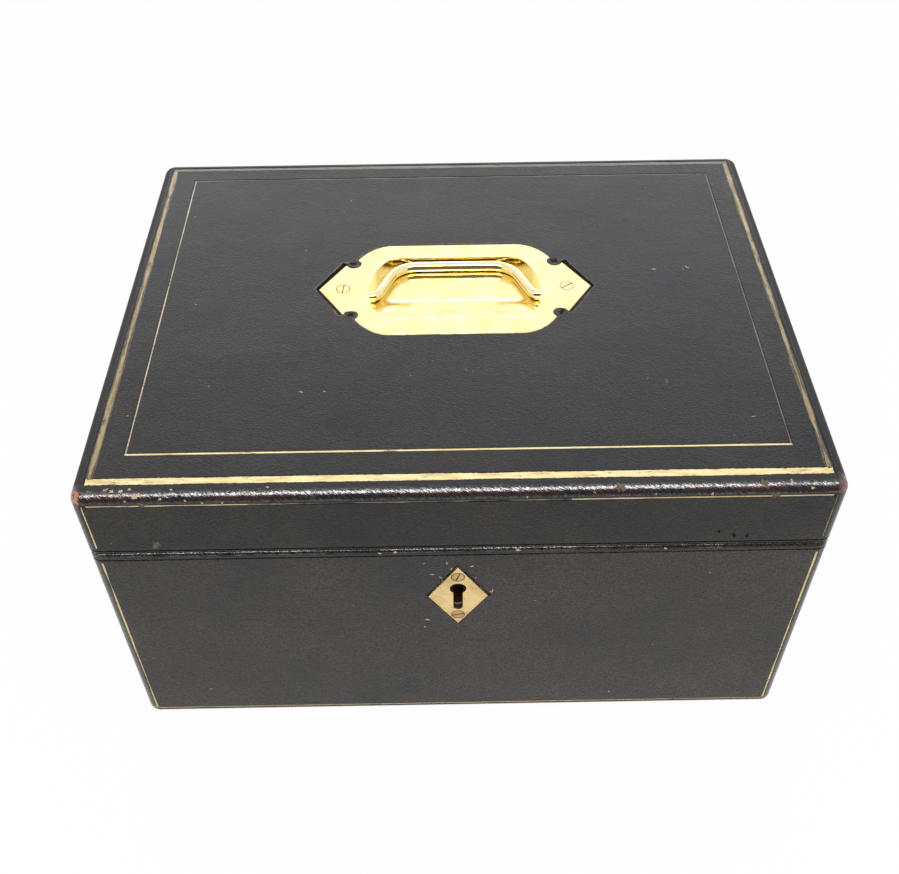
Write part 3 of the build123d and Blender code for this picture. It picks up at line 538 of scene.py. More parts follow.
LID_LOOK = {
    "low": LID_LOW.z, "high": TOP_Z, "bead": (LID_LOW.z - MM, LID_LOW.z + 0.6 * MM), "worn_level": TOP_Z,
    "dust": SIDE_DUST, "bare": WORN_TAN, "wear": 0.38, "shine": 0.25,
}
BASE_LOOK = {
    "low": BASE_LOW.z, "high": BASE_HIGH.z, "bead": (BASE_HIGH.z - BASE_CREASE_DROP, BASE_HIGH.z + MM),
    "worn_level": BASE_LOW.z, "dust": GREY_DUST, "bare": FOOT_TAN, "wear": 0.46, "shine": 0.33,
}
GILT_LOOKS = {
    "gilt_bright": (BRIGHT_GILT, WARM_GILT, 0.84),
    "gilt_warm": (WARM_GILT, BRIGHT_GILT, 0.84),
    # Painted shade: a darker, browner gilt for the wide frame's sides, standing in for the less light they
    # reflect. They are rubbed as well.
    "gilt_dull": (DULL_GILT, BROWN_GILT, 0.80, (1.0, 0.16, 1.0)),
    "gilt_grey": ((0.50, 0.43, 0.33), DULL_GILT, 0.84),
    "gilt_brown": (BROWN_GILT, DULL_GILT, 0.78),
    "gilt_halo": ((0.13, 0.095, 0.055), (0.05, 0.038, 0.026), 0.76, (1.0, 0.3, 1.0), 0.2),
    "gilt_faint": ((0.17, 0.145, 0.115), (0.09, 0.078, 0.062), 0.82, (0.16, 1.0, 1.0), 0.15),
}
HIDE_LOOKS = {
    "scuff": ((0.10, 0.09, 0.075), (0.03, 0.027, 0.024)),
    "bare_hide": ((0.74, 0.56, 0.34), (0.36, 0.22, 0.11)),
    "cut_edge": ((0.16, 0.13, 0.10), (0.02, 0.018, 0.016)),
    # Near-black leather: painted shade in the gaps round the keyhole plate and in the handle plate's notches,
    # and the colour of a few real dark marks on the front.
    "dark_cut": ((0.016, 0.011, 0.008), (0.003, 0.002, 0.002), 0.08),
    "dark_scab": ((0.22, 0.165, 0.10), (0.035, 0.026, 0.018)),
    "pale_fibre": ((0.70, 0.60, 0.46), (0.20, 0.15, 0.10)),
}
WALNUT = (0.40, 0.24, 0.12), (0.24, 0.13, 0.06)

MATERIALS = {
    "lid_leather": leather_material("black_leather_lid", LID_LOOK),
    "base_leather": leather_material("black_leather_base", BASE_LOOK),
    "polished_brass": brass_material("polished_brass", YELLOW_BRASS, WARM_BRASS, 0.10, 0.10),
    "handle_plate": brass_material("plate_brass", YELLOW_BRASS, WARM_BRASS, 0.13, 0.10, PLATE_RIMS),
    # The screws get painted shade in their slots, below the plate's face.
    "handle_screws": brass_material("screw_brass", YELLOW_BRASS, WARM_BRASS, 0.16, 0.20,
                                    depth_shade=(2, PLATE_Z - 0.08 * MM, PLATE_Z - 0.25 * MM)),
    "escutcheon": brass_material("escutcheon_brass", AGED_BRASS, BROWN_BRASS, 0.28, 0.75, LOZENGE_RIMS),
    # The old screws get painted shade in their slots, behind the keyhole plate's face.
    "escutcheon_screws": brass_material("old_screw_brass", (0.66, 0.46, 0.22), (0.40, 0.26, 0.12), 0.34, 1.0,
                                        depth_shade=(1, FRONT_Y + 0.15 * MM, FRONT_Y + 0.3 * MM)),
    "lock_brass": brass_material("lock_brass", LOCK_BRASS, LOCK_BROWN, 0.26, 0.28),
    # The lock case gets painted shade down inside the box, below the base's top.
    "lock_case": brass_material("lock_case_brass", LOCK_BROWN, (0.30, 0.20, 0.09), 0.34, 0.5,
                                depth_shade=(2, BASE_HIGH.z - 2 * MM, BASE_HIGH.z - 5 * MM)),
    "carcass_wood": wood_material("carcass_wood", *WALNUT),
    # Painted shade on the board's top, where it shows down the gap round the handle plate.
    "lid_top_board": wood_material("lid_board_wood", *WALNUT, (2, PLATE_Z - 3 * MM, PLATE_Z - 2.4 * MM)),
    # Painted shade on the board's front, where it shows in the gap round the keyhole plate.
    "base_front_board": wood_material("front_board_wood", *WALNUT, (1, FRONT_Y + 3 * MM, FRONT_Y + 2.4 * MM)),
    "velvet": velvet_material("velvet", (0.016, 0.021, 0.115), (0.006, 0.009, 0.05), (0.17, 0.22, 0.55)),
    "silk": silk_material("silk", (0.05, 0.065, 0.26), (0.03, 0.04, 0.17)),
    "baize": velvet_material("baize", (0.02, 0.024, 0.07), (0.012, 0.014, 0.045), (0.10, 0.11, 0.2)),
    "steel_pin": steel_material("steel_pin"),
}
MATERIALS.update({name: gilt_material(name, *look) for name, look in GILT_LOOKS.items()})
MATERIALS.update({name: hide_material(name, *look) for name, look in HIDE_LOOKS.items()})


def dress_cad():
    """Gives every CAD node that shows its material, by its slot in the record."""
    for entry in frame["record"]["subparts"]:
        node, slot = entry["node"], entry["material_slot"]
        key = node if node in MATERIALS else slot
        obj = frame["nodes"][node]
        obj.data.materials.clear()
        obj.data.materials.append(MATERIALS[key])


def add_piece(name, vertices, faces, finish, body):
    """A new mesh piece that rides on a body."""
    mesh = bpy.data.meshes.new(name)
    mesh.from_pydata([tuple(v) for v in vertices], [], faces)
    mesh.materials.append(MATERIALS[finish])
    piece = new_object(name, mesh)
    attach(piece, body)
    return piece


def add_silk(name, vertices, faces, body):
    piece = add_piece(name, vertices, faces, "silk", body)
    piece.data.shade_smooth()
    return piece


def copy_node(name, node, finish):
    """A piece with a CAD node's own form."""
    mesh = frame["nodes"][node].data.copy()
    mesh.materials.clear()
    mesh.materials.append(MATERIALS[finish])
    return new_object(name, mesh)


def stand_for(piece, node, body):
    """Shows the piece in place of a CAD node, on that node's body."""
    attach(piece, body)
    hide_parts(node)


def quads(rows, across, first=0, closed=False, tube=False):
    """Faces between rows of points. Closed joins the last row to the first, tube each row's two ends."""
    faces = []
    for i in range(rows if closed else rows - 1):
        a, b = first + i * across, first + (i + 1) % rows * across
        for k in range(across if tube else across - 1):
            j = (k + 1) % across
            faces.append((a + k, b + k, b + j, a + j))
    return faces


def ripple(at, rate, shift=(0, 0, 0)):
    """Smooth noise at a place, between -1 and 1. Rate says how fast it changes, per metre."""
    return noise.noise(at * rate + Vector(shift))


# Gilding

def gilt_strip(name, start, end, width, normal, finish, body, seed, rubbed=0.0):
    """A narrow leaf of gold along a line, with ragged edges. Where it is rubbed, it thins out."""
    start, end, normal = Vector(start), Vector(end), Vector(normal)
    along = end - start
    steps = max(4, int(along.length / (0.6 * MM)))
    across = normal.cross(along).normalized()
    vertices = []
    for i in range(steps + 1):
        at = start + along * (i / steps) + normal * GILT_LIFT
        for side in (-1, 1):
            fine = ripple(at, 1100, (seed, side * 7.0, 0))
            slow = ripple(at, 130, (seed, side * 3.0, 5))
            thin = rubbed * max(0.0, 0.35 + 1.6 * ripple(at, 55, (seed, 0, 0)) + 0.8 * slow)
            half = width / 2 * max(0.06, 0.92 + 0.16 * fine + 0.10 * slow - thin)
            vertices.append(at + across * side * half)
    return add_piece(name, vertices, quads(steps + 1, 2), finish, body)


def gilt_frame(name, inset_x, inset_front, inset_back, looks, rise=0.0):
    """A frame's strips on the lid. Looks gives each its width, its finish and how far it is rubbed."""
    x, z = SIDE_X - inset_x, TOP_Z - TOOLING_DEPTH + rise
    front, back = FRONT_Y + inset_front, BACK_Y - inset_back
    half = looks["left"][0] * MM / 2
    lines = {
        "front": ((-x - half, front, z), (x + half, front, z)),
        "back": ((-x - half, back, z), (x + half, back, z)),
        "left": ((-x, front + half, z), (-x, back - half, z)),
        "right": ((x, front + half, z), (x, back - half, z)),
    }
    for seed, (side, (width, finish, rubbed)) in enumerate(looks.items()):
        gilt_strip(f"{name}_{side}", *lines[side], width * MM, (0, 0, 1), finish, "lid", seed, rubbed)


def front_strip(name, start, end, finish, body, seed, rubbed=0.6, width=EDGE_LINE):
    """A fine gilt line on the front, between two places given in X and Z."""
    y = FRONT_Y + TOOLING_DEPTH
    gilt_strip(name, (start[0], y, start[1]), (end[0], y, end[1]), width, (0, -1, 0),
               finish, body, seed, rubbed)


def make_gilding():
    """Gold in the tooled lines: two frames on the lid's top, and fine lines round the front."""
    halo = {"left": (3.2, "gilt_halo", 0.3), "right": (3.2, "gilt_halo", 0.4)}
    # The wide frame's sides take the gilt with painted shade.
    wide = {"front": (WIDE_LINE / MM, "gilt_bright", 0.10), "back": (2.6, "gilt_faint", 0.2),
            "left": (2.1, "gilt_dull", 0.45), "right": (1.7, "gilt_dull", 0.6)}
    fine = {"front": (FINE_LINE / MM, "gilt_bright", 0.15), "back": (0.6, "gilt_faint", 0.4),
            "left": (0.6, "gilt_grey", 0.4), "right": (0.6, "gilt_faint", 0.5)}
    gilt_frame("gilt_halo", WIDE_INSET_X, WIDE_INSET_FRONT, WIDE_INSET_BACK, halo)
    gilt_frame("gilt_wide", WIDE_INSET_X, WIDE_INSET_FRONT, WIDE_INSET_BACK, wide, GILT_LIFT)
    gilt_frame("gilt_fine", FINE_INSET_X, FINE_INSET_FRONT, FINE_INSET_BACK, fine)
    x = SIDE_X - EDGE_INSET
    line = TOP_Z - LID_LINE_DROP
    lid_foot = LID_LOW.z + 2 * LID_CREASE_RISE
    base_top = BASE_HIGH.z - 1.5 * BASE_CREASE_DROP
    foot = FOOT_LINE_HEIGHT
    spans = [(-134, -76, "gilt_warm", 0.5), (-76, 40, "gilt_brown", 0.9), (40, 134, "gilt_warm", 0.35)]
    for i, (left, right, finish, rubbed) in enumerate(spans):
        start, end = (left * MM, line), (right * MM, line)
        front_strip(f"gilt_lid_front_{i}", start, end, finish, "lid", 20 + i, rubbed)
    front_strip("gilt_lid_left", (-x, lid_foot), (-x, line), "gilt_warm", "lid", 7, 0.6, 0.6 * MM)
    front_strip("gilt_lid_right", (x, lid_foot), (x, line), "gilt_brown", "lid", 8, 0.8, 0.5 * MM)
    front_strip("gilt_base_left", (-x, foot), (-x, base_top), "gilt_warm", "base", 9)
    front_strip("gilt_base_right", (x, foot), (x, base_top), "gilt_warm", "base", 10)
    front_strip("gilt_base_foot", (-x, foot), (x, foot), "gilt_warm", "base", 11, 0.35)


# Worn leather

def on_lid(x, down, lift):
    """A place on the lid's front edge. Down is the way along the skin from where the top ends."""
    angle = min(max(down / TOP_ROUND, 0.0), pi / 2)
    reach = TOP_ROUND + lift
    y = FRONT_Y + TOP_ROUND - reach * sin(angle) - min(down, 0.0)
    z = TOP_Z - TOP_ROUND + reach * cos(angle) - max(down - TOP_QUARTER, 0.0)
    return Vector((x, y, z))


def on_front(x, z, lift):
    return Vector((x, FRONT_Y - lift, z))


def front_body(z):
    """The body that has that height of the front."""
    return "lid" if z > SEAM_Z else "base"


def on_top(x, y, lift):
    return Vector((x, y, TOP_Z + lift))


def flake(name, place, x, along, size, finish, body, seed, lean=1.0):
    """An irregular torn scab or bare spot, thin and a little domed, lying on the leather.

    Place gives a point of the skin from its x, its way along the skin and its height over it.
    """
    rng = random.Random(seed)
    turn = rng.uniform(0, pi)
    count = 18
    vertices = [place(x, along, 0.10 * MM)]
    for ring, lift in ((0.55, 0.09 * MM), (1.0, -0.02 * MM)):
        for i in range(count):
            angle = 2 * pi * i / count
            wander = Vector((cos(angle) * 1.9, sin(angle) * 1.9, seed * 3.7))
            reach = size * ring * (0.75 + 0.95 * noise.noise(wander))
            right, down = lean * cos(angle), sin(angle)
            dx = reach * (right * cos(turn) - down * sin(turn))
            dz = reach * (right * sin(turn) + down * cos(turn))
            vertices.append(place(x + dx, along + dz, lift))
    faces = [(0, 1 + i, 1 + (i + 1) % count) for i in range(count)]
    faces += quads(2, count, first=1, tube=True)
    return add_piece(name, vertices, faces, finish, body)


# DARK is near-black: painted shade in gaps, and a few real dark marks.
PALE, BARE, SCAB, DARK, SCUFF, CUT = "pale_fibre", "bare_hide", "dark_scab", "dark_cut", "scuff", "cut_edge"


def make_edge_marks():
    """Chips, scabs and specks on the lid's front edge: x, share of the way round the edge, size, finish."""
    edge_marks = [
        (56.9, 0.35, 2.6, SCAB), (108.5, 0.25, 2.3, SCAB), (113.0, 0.95, 1.9, SCAB),
        (90.2, 0.80, 0.7, BARE), (-121.0, 0.15, 0.8, BARE), (-114.0, 0.35, 0.9, BARE),
        (-103.0, 0.10, 0.6, BARE), (-113.5, 0.95, 1.7, SCAB), (-68.7, 0.05, 0.6, BARE),
        (-98.0, 0.70, 0.5, BARE), (-92.0, 0.85, 0.6, BARE), (-85.0, 0.85, 0.5, BARE),
        (70.0, 0.75, 0.6, BARE), (24.0, 0.80, 0.5, BARE), (126.0, 0.55, 0.8, BARE),
        (-126.6, 0.05, 1.2, PALE), (-124.3, 0.14, 0.9, BARE), (-118.0, 0.02, 0.9, BARE),
        (-116.0, 0.42, 1.4, BARE), (-132.0, 0.20, 1.3, SCAB), (-107.0, 0.60, 0.7, BARE),
        (-119.5, 0.70, 0.6, BARE), (48.0, 0.62, 0.7, SCAB), (118.5, 0.15, 0.7, PALE),
    ]
    for seed, (x, share, size, finish) in enumerate(edge_marks):
        flake(f"edge_mark_{seed}", on_lid, x * MM, share * TOP_QUARTER, size * MM, finish, "lid", seed)


def make_front_marks():
    """Scabs and loose fibres on the front: x, z, size, finish."""
    front_marks = [
        (-112.7, 120.8, 2.6, SCAB), (-24.5, 113.9, 0.9, BARE), (-30.5, 113.4, 0.6, BARE),
        (21.7, 114.0, 1.2, BARE), (77.3, 113.6, 0.8, BARE), (-14.5, 64.3, 0.7, BARE),
        (12.4, 88.5, 1.6, PALE), (-13.2, 69.4, 1.3, PALE), (-13.8, 106.8, 0.9, PALE),
        (-5.1, 106.8, 0.9, PALE), (-11.0, 99.7, 1.0, PALE), (-7.5, 97.6, 1.0, PALE),
        (-3.4, 103.1, 0.9, PALE), (4.5, 104.5, 1.0, PALE), (6.0, 97.1, 0.9, PALE),
        (102.0, 121.0, 2.2, DARK), (107.0, 120.4, 1.6, DARK), (96.0, 123.2, 1.5, DARK),
        (80.7, 48.6, 0.6, PALE), (65.9, 11.5, 1.1, PALE), (-109.3, 19.3, 0.7, PALE),
        (29.6, 81.5, 0.5, PALE), (-18.1, 53.5, 0.5, PALE), (51.0, 5.6, 1.6, SCAB),
        (-84.0, 5.2, 1.4, SCAB), (95.0, 5.0, 1.2, SCAB),
    ]
    for seed, (x, z, size, finish) in enumerate(front_marks):
        lean = 0.4 if finish in (PALE, DARK) else 1.0
        body = front_body(z * MM)
        flake(f"front_mark_{seed}", on_front, x * MM, z * MM, size * MM, finish, body, seed + 40, lean)


def make_top_marks():
    """Small marks on the lid's top, and in the plate's four notches a near-black patch of painted shade under
    a small piece of torn leather.
    """
    top_marks = [
        (101.5, 18.6, 1.5, PALE), (99.8, 17.2, 0.8, PALE), (87.0, 17.5, 1.7, PALE),
        (81.8, -53.6, 2.0, SCUFF), (111.6, -73.9, 0.9, PALE), (-47.3, 72.9, 0.6, BARE),
        (-109.4, -2.1, 0.7, PALE), (-125.5, -68.2, 0.7, BARE), (-60.6, -56.5, 1.2, PALE),
        (-51.7, -56.4, 0.7, PALE), (-18.2, -48.1, 0.6, PALE), (-57.4, -36.0, 1.1, SCUFF),
        (3.4, -45.0, 1.6, SCUFF), (6.4, -46.6, 1.3, SCUFF),
    ]
    for seed, (x, y, size, finish) in enumerate(top_marks):
        flake(f"top_mark_{seed}", on_top, x * MM, y * MM, size * MM, finish, "lid", seed + 90, 0.35)
    notches = [(side, end) for side in (-1, 1) for end in (-1, 1)]
    for seed, (side, end) in enumerate(notches):
        x, y = PLATE_X + side * NOTCH_X, PLATE_Y + end * NOTCH_Y
        torn_x, torn_y = x - 0.5 * MM, y + 0.6 * MM
        # Painted shade in the notch, with the torn leather over it.
        flake(f"notch_shadow_{seed}", on_top, x, y, 1.9 * MM, DARK, "lid", seed + 120)
        flake(f"notch_torn_{seed}", on_top, torn_x, torn_y, 0.9 * MM, CUT, "lid", seed + 130)


def make_scuffs():
    """Long faint scratches, each from one x and z to another, and one on the top."""
    scuffs = [
        (-94, 70.2, -58, 70.8), (-54, 69.6, -22, 68.2), (-8, 55.0, 44, 52.6),
        (-100, 25.0, -82, 24.2), (58, 61.0, 74, 60.4), (84, 118.6, 100, 119.4),
    ]
    for seed, (x1, z1, x2, z2) in enumerate(scuffs):
        start, end = on_front(x1 * MM, z1 * MM, 0.0), on_front(x2 * MM, z2 * MM, 0.0)
        body = front_body(start.z)
        gilt_strip(f"front_scuff_{seed}", start, end, 0.22 * MM, (0, -1, 0), SCUFF, body, seed + 60, 0.9)
    start, end = on_top(113 * MM, -38 * MM, 0.0), on_top(131 * MM, -42.5 * MM, 0.0)
    gilt_strip("top_scuff", start, end, 0.25 * MM, (0, 0, 1), SCUFF, "lid", 71, 0.8)


# Cut leather round the brass

def hole_rim(node, axis, level, around):
    """The edge of the hole that a node's flat face has around another node, as a closed run of points."""
    low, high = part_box(around)
    low, high = low - HOLE_ROOM, high + HOLE_ROOM
    form = bmesh.new()
    form.from_mesh(frame["nodes"][node].data)
    bmesh.ops.remove_doubles(form, verts=form.verts, dist=0.005 * MM)
    links = {}
    for edge in form.edges:
        ends = [v.co for v in edge.verts]
        flat = all(abs(end[axis] - level) < 0.03 * MM for end in ends)
        near = all(low[i] <= end[i] <= high[i] for end in ends for i in range(3) if i != axis)
        sharp = len(edge.link_faces) == 2 and edge.calc_face_angle(0) > 0.8
        if flat and near and sharp:
            a, b = edge.verts
            links.setdefault(a.index, []).append(b.index)
            links.setdefault(b.index, []).append(a.index)
    form.verts.ensure_lookup_table()
    runs = [[form.verts[i].co.copy() for i in run] for run in linked_runs(links)]
    form.free()
    return max(runs, key=len)


def linked_runs(links):
    """Goes along linked numbers, and gives each unbroken run of them."""
    runs, seen = [], set()
    for start in links:
        run, at = [], start
        while at is not None and at not in seen:
            seen.add(at)
            run.append(at)
            at = next((other for other in links[at] if other not in seen), None)
        if run:
            runs.append(run)
    return runs


def evenly(points, step):
    """A closed run of points resampled at about that step."""
    spots = []
    for i, start in enumerate(points):
        end = points[(i + 1) % len(points)]
        count = max(1, round((end - start).length / step))
        spots.extend(start.lerp(end, k / count) for k in range(count))
    return spots


def ragged_lip(name, points, out, reach, lift, finish, body, seed):
    """The torn, slightly raised edge of leather round a hole, hanging unevenly into the gap."""
    spots = evenly(points, 0.35 * MM)
    out = Vector(out)
    centre = sum(spots, Vector()) / len(spots)
    vertices = []
    count = len(spots)
    for i, spot in enumerate(spots):
        along = (spots[(i + 1) % count] - spots[i - 1]).normalized()
        inward = out.cross(along)
        if inward.dot(centre - spot) < 0:
            inward = -inward
        tear = 0.5 + 0.9 * ripple(spot, 700, (seed, 0, 0))
        tear += 0.5 * ripple(spot, 2300, (0, seed, 0))
        tear = min(max(tear, 0.05), 1.0)
        rise = lift * (0.4 + 0.6 * ripple(spot, 400, (0, 0, seed)))
        vertices.append(spot - inward * 0.35 * reach - out * 0.02 * MM)
        vertices.append(spot + out * rise)
        vertices.append(spot + inward * reach * tear - out * 0.25 * MM)
    return add_piece(name, vertices, quads(count, 3, closed=True), finish, body)


def fringe(name, points, out, length, finish, body, seed):
    """Short loose fibres of torn leather, here and there along the edge of a hole."""
    out = Vector(out)
    spots = evenly(points, 0.28 * MM)
    rng = random.Random(seed)
    vertices, faces = [], []
    for i, spot in enumerate(spots):
        torn = ripple(spot, 90, (seed, 0, 0)) + rng.uniform(-0.35, 0.35)
        if torn < 0.10:
            continue
        along = (spots[(i + 1) % len(spots)] - spots[i - 1]).normalized()
        lean = along * rng.uniform(-0.9, 0.9) + out.cross(along) * rng.uniform(-0.9, 0.9)
        reach = lean.normalized() * length * rng.uniform(0.5, 1.3)
        half = along.lerp(out.cross(along), 0.4).normalized() * rng.uniform(0.06, 0.15) * MM
        tip = spot + reach + out * rng.uniform(0.05, 0.18) * MM
        first = len(vertices)
        vertices += [spot - half, spot + half + out * 0.07 * MM, tip + half * 0.3, tip - half * 0.3]
        faces.append((first, first + 1, first + 2, first + 3))
    return add_piece(name, vertices, faces, finish, body)


def make_lips():
    """Torn leather and loose fibres round the handle's plate and the keyhole's plate, with painted shade in
    the keyhole plate's gap: a near-black lip, and dark strips along its two upper edges.
    """
    rim = hole_rim("lid_leather", 2, TOP_Z, "handle_plate")
    ragged_lip("plate_lip", rim, (0, 0, 1), 0.7 * MM, 0.06 * MM, CUT, "lid", 1)
    fringe("plate_fibres", rim, (0, 0, 1), 0.55 * MM, PALE, "lid", 3)
    rim = hole_rim("base_leather", 1, FRONT_Y, "escutcheon")
    # Painted shade: the keyhole plate's torn lip is near-black, as its gap lies in shade.
    ragged_lip("lozenge_lip", rim, (0, -1, 0), 0.8 * MM, 0.06 * MM, DARK, "base", 2)
    fringe("lozenge_fibres", rim, (0, -1, 0), 0.45 * MM, PALE, "base", 4)
    # Painted shadow: dark strips in the gap along the keyhole plate's two upper edges.
    wide = (LOZENGE_HIGH.x - LOZENGE_LOW.x) / 2 + LOZENGE_GAP
    tall = (LOZENGE_HIGH.z - LOZENGE_LOW.z) / 2 + 1.5 * LOZENGE_GAP
    for side, name, seed in ((-1, "left", 81), (1, "right", 83)):
        start = on_front(LOZENGE_X + side * wide, LOZENGE_Z, 0.0)
        end = on_front(LOZENGE_X, LOZENGE_Z + tall, 0.0)
        gilt_strip(f"lozenge_gap_shadow_{name}", start, end, LOZENGE_GAP_WIDTH, (0, -1, 0), DARK, "base", seed, 0.5)


# Soft pieces

def settle(piece):
    """Takes the piece's mesh as its modifiers leave it, and removes them."""
    view = bpy.context.evaluated_depsgraph_get()
    mesh = bpy.data.meshes.new_from_object(piece.evaluated_get(view))
    piece.modifiers.clear()
    piece.data = mesh


def cloth_copy(name, node, finish, voxel, margin):
    """A closed, evenly meshed copy of a CAD node, a margin smaller than it."""
    piece = copy_node(name, node, finish)
    remesh = piece.modifiers.new("even", "REMESH")
    remesh.mode = "VOXEL"
    remesh.voxel_size = voxel
    settle(piece)
    low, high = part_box(node)
    middle, half = (low + high) / 2, (high - low) / 2
    for vertex in piece.data.vertices:
        for i in range(3):
            share = (half[i] - margin[i]) / half[i]
            vertex.co[i] = middle[i] + (vertex.co[i] - middle[i]) * share
    return piece


def inflate(piece, cap, pinned=None, pressure=4.0):
    """Fills a closed piece by cloth simulation. No point moves further than the cap."""
    starts = [vertex.co.copy() for vertex in piece.data.vertices]
    cloth = piece.modifiers.new("cloth", "CLOTH")
    cloth.settings.quality = 4
    cloth.settings.use_pressure = True
    cloth.settings.uniform_pressure_force = pressure
    cloth.settings.effector_weights.gravity = 0
    if pinned:
        group = piece.vertex_groups.new(name="pinned")
        for index, weight in pinned.items():
            group.add([index], weight, "REPLACE")
        cloth.settings.vertex_group_mass = "pinned"
    for step in range(1, 21):
        bpy.context.scene.frame_set(step)
    settle(piece)
    bpy.context.scene.frame_set(1)
    for vertex, start in zip(piece.data.vertices, starts):
        move = vertex.co - start
        if move.length > cap:
            vertex.co = start + move.normalized() * cap


def subdivide(piece):
    divide = piece.modifiers.new("finer", "SUBSURF")
    divide.levels = divide.render_levels = 1
    settle(piece)


def keep_inside(piece, node, room):
    """Holds every point a little inside the box of the CAD node that the piece stands for."""
    low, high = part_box(node)
    for vertex in piece.data.vertices:
        for i in range(3):
            vertex.co[i] = min(max(vertex.co[i], low[i] + room[i]), high[i] - room[i])


def finish_soft(piece, node, body, room=(0.1 * MM, 0.1 * MM, 0.0)):
    keep_inside(piece, node, room)
    piece.data.shade_smooth()
    stand_for(piece, node, body)


def tuft_places():
    """The buttons of the lid's pad, in rows that step sideways by half."""
    low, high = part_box("lid_pad")
    middle = (low + high) / 2
    places = []
    for row in range(-3, 4):
        shift = 0.5 if row % 2 else 0.0
        for column in range(-4, 5):
            x = middle.x + (column + shift) * TUFT_X
            if abs(x - middle.x) < (high.x - low.x) / 2 - 12 * MM:
                places.append(Vector((x, middle.y + row * TUFT_Y, 0)))
    return places


def bell(away, reach):
    """1 at a middle, falling off softly over that reach."""
    return exp(-((away / reach) ** 2))


def pleat(x, y, middle):
    """How deep the sewn diagonal folds between the buttons are at a place, from 0 to 1."""
    depth = 0.0
    for side in (-1, 1):
        turns = ((x - middle.x) / TUFT_X + side * (y - middle.y) / (2 * TUFT_Y))
        away = abs(turns - round(turns)) * TUFT_X
        depth = max(depth, bell(away, FOLD_REACH))
    return depth


def nearest(x, y, places):
    return min(hypot(x - place.x, y - place.y) for place in places)


def make_lid_pad():
    """Silk, buttoned in diamonds: swollen between the buttons, with folds that run between them."""
    low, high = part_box("lid_pad")
    middle = (low + high) / 2
    places = tuft_places()
    piece = cloth_copy("tufted_lid_pad", "lid_pad", "silk", 4 * MM, (0.8 * MM, 0.8 * MM, 0.9 * MM))
    pinned = {}
    for vertex in piece.data.vertices:
        x, y, z = vertex.co
        if z > middle.z:
            pinned[vertex.index] = 1.0
            continue
        away = nearest(x, y, places)
        vertex.co.z += HOLLOW * bell(away, HOLLOW_REACH)
        if away < 3.2 * MM:
            pinned[vertex.index] = 1.0
    inflate(piece, 2.0 * MM, pinned)
    subdivide(piece)
    subdivide(piece)
    for vertex in piece.data.vertices:
        x, y, z = vertex.co
        if z < middle.z + MM:
            inner = min(x - low.x, high.x - x, y - low.y, high.y - y)
            share = min(max(inner / (9 * MM), 0.0), 1.0)
            away = nearest(x, y, places)
            crinkle = ripple(vertex.co, 260) * exp(-away / (12 * MM))
            vertex.co.z += share * (FOLD * pleat(x, y, middle) + DIMPLE * bell(away, DIMPLE_REACH))
            vertex.co.z += 0.5 * MM * crinkle * share
    finish_soft(piece, "lid_pad", "lid")
    make_buttons(piece, places)
    make_piping()


def rounded_path(low, high, z, inset, radius):
    """Points along the outline of a box with rounded corners."""
    corners = [(low.x + inset, low.y + inset, 1, 1), (high.x - inset, low.y + inset, -1, 1),
               (high.x - inset, high.y - inset, -1, -1), (low.x + inset, high.y - inset, 1, -1)]
    path = []
    for k, (x, y, right, up) in enumerate(corners):
        for i in range(9):
            angle = pi + k * pi / 2 + i * pi / 16
            across = x + right * radius + radius * cos(angle)
            path.append(Vector((across, y + up * radius + radius * sin(angle), z)))
    return path


def make_piping():
    """A twisted silk cord sewn round the lid's pad, over the join with the lining."""
    low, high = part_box("lid_pad")
    radius = 1.25 * MM
    path = rounded_path(low, high, high.z - radius, radius + 0.1 * MM, 5 * MM)
    path = evenly(path, 0.55 * MM)
    count, around = len(path), 10
    vertices = []
    for i, at in enumerate(path):
        along = (path[(i + 1) % count] - path[i - 1]).normalized()
        out = along.cross(Vector((0, 0, 1)))
        twist = i * 2 * pi / 13
        for k in range(around):
            angle = -2 * pi * k / around
            thick = radius * (0.86 + 0.13 * cos(3 * angle + twist))
            vertices.append(at + (out * cos(angle) + Vector((0, 0, sin(angle)))) * thick)
    faces = quads(count, around, closed=True, tube=True)
    add_silk("lid_pad_piping", vertices, faces, "lid")


def make_buttons(pad, places):
    """Small covered buttons, each with a domed face and a turned-in rim."""
    profile = [(2.7, 1.0), (2.75, 0.3), (2.5, -0.35), (1.8, -0.8), (0.9, -1.0)]
    vertices, faces = [], []
    count = 16
    for place in places:
        found, at, _, _ = pad.ray_cast(Vector((place.x, place.y, 0)), Vector((0, 0, 1)))
        level = (at.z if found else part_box("lid_pad")[0].z) + 0.5 * MM
        first = len(vertices)
        for radius, rise in profile:
            for i in range(count):
                angle = 2 * pi * i / count
                x = place.x + radius * MM * cos(angle)
                y = place.y + radius * MM * sin(angle)
                vertices.append((x, y, level + rise * MM))
        vertices.append((place.x, place.y, level - 1.05 * MM))
        faces += quads(len(profile), count, first, tube=True)
        last = first + (len(profile) - 1) * count
        for i in range(count):
            faces.append((last + (i + 1) % count, last + i, len(vertices) - 1))
    add_silk("lid_pad_buttons", vertices, faces, "lid")


def make_pads():
    """The stuffed velvet pads: crowned, and flat where they rest."""
    pads = [("base_floor_pad", "base", 4.0, 1.6, 0.9, 0.6)]
    pads += [(f"tray_pad_{place}", "tray", 3.0, 1.3, 0.7, 0.7) for place in ("left", "middle", "right")]
    for node, body, voxel, cap, margin, fill in pads:
        piece = cloth_copy(f"soft_{node}", node, "velvet", voxel * MM, (margin * MM,) * 3)
        low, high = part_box(node)
        floor = {v.index: 1.0 for v in piece.data.vertices if v.co.z < (low.z + high.z) / 2 - 0.6 * MM}
        inflate(piece, cap * MM, floor)
        subdivide(piece)
        dent(piece, low, high, 0.5 * MM)
        finish_soft(piece, node, body)


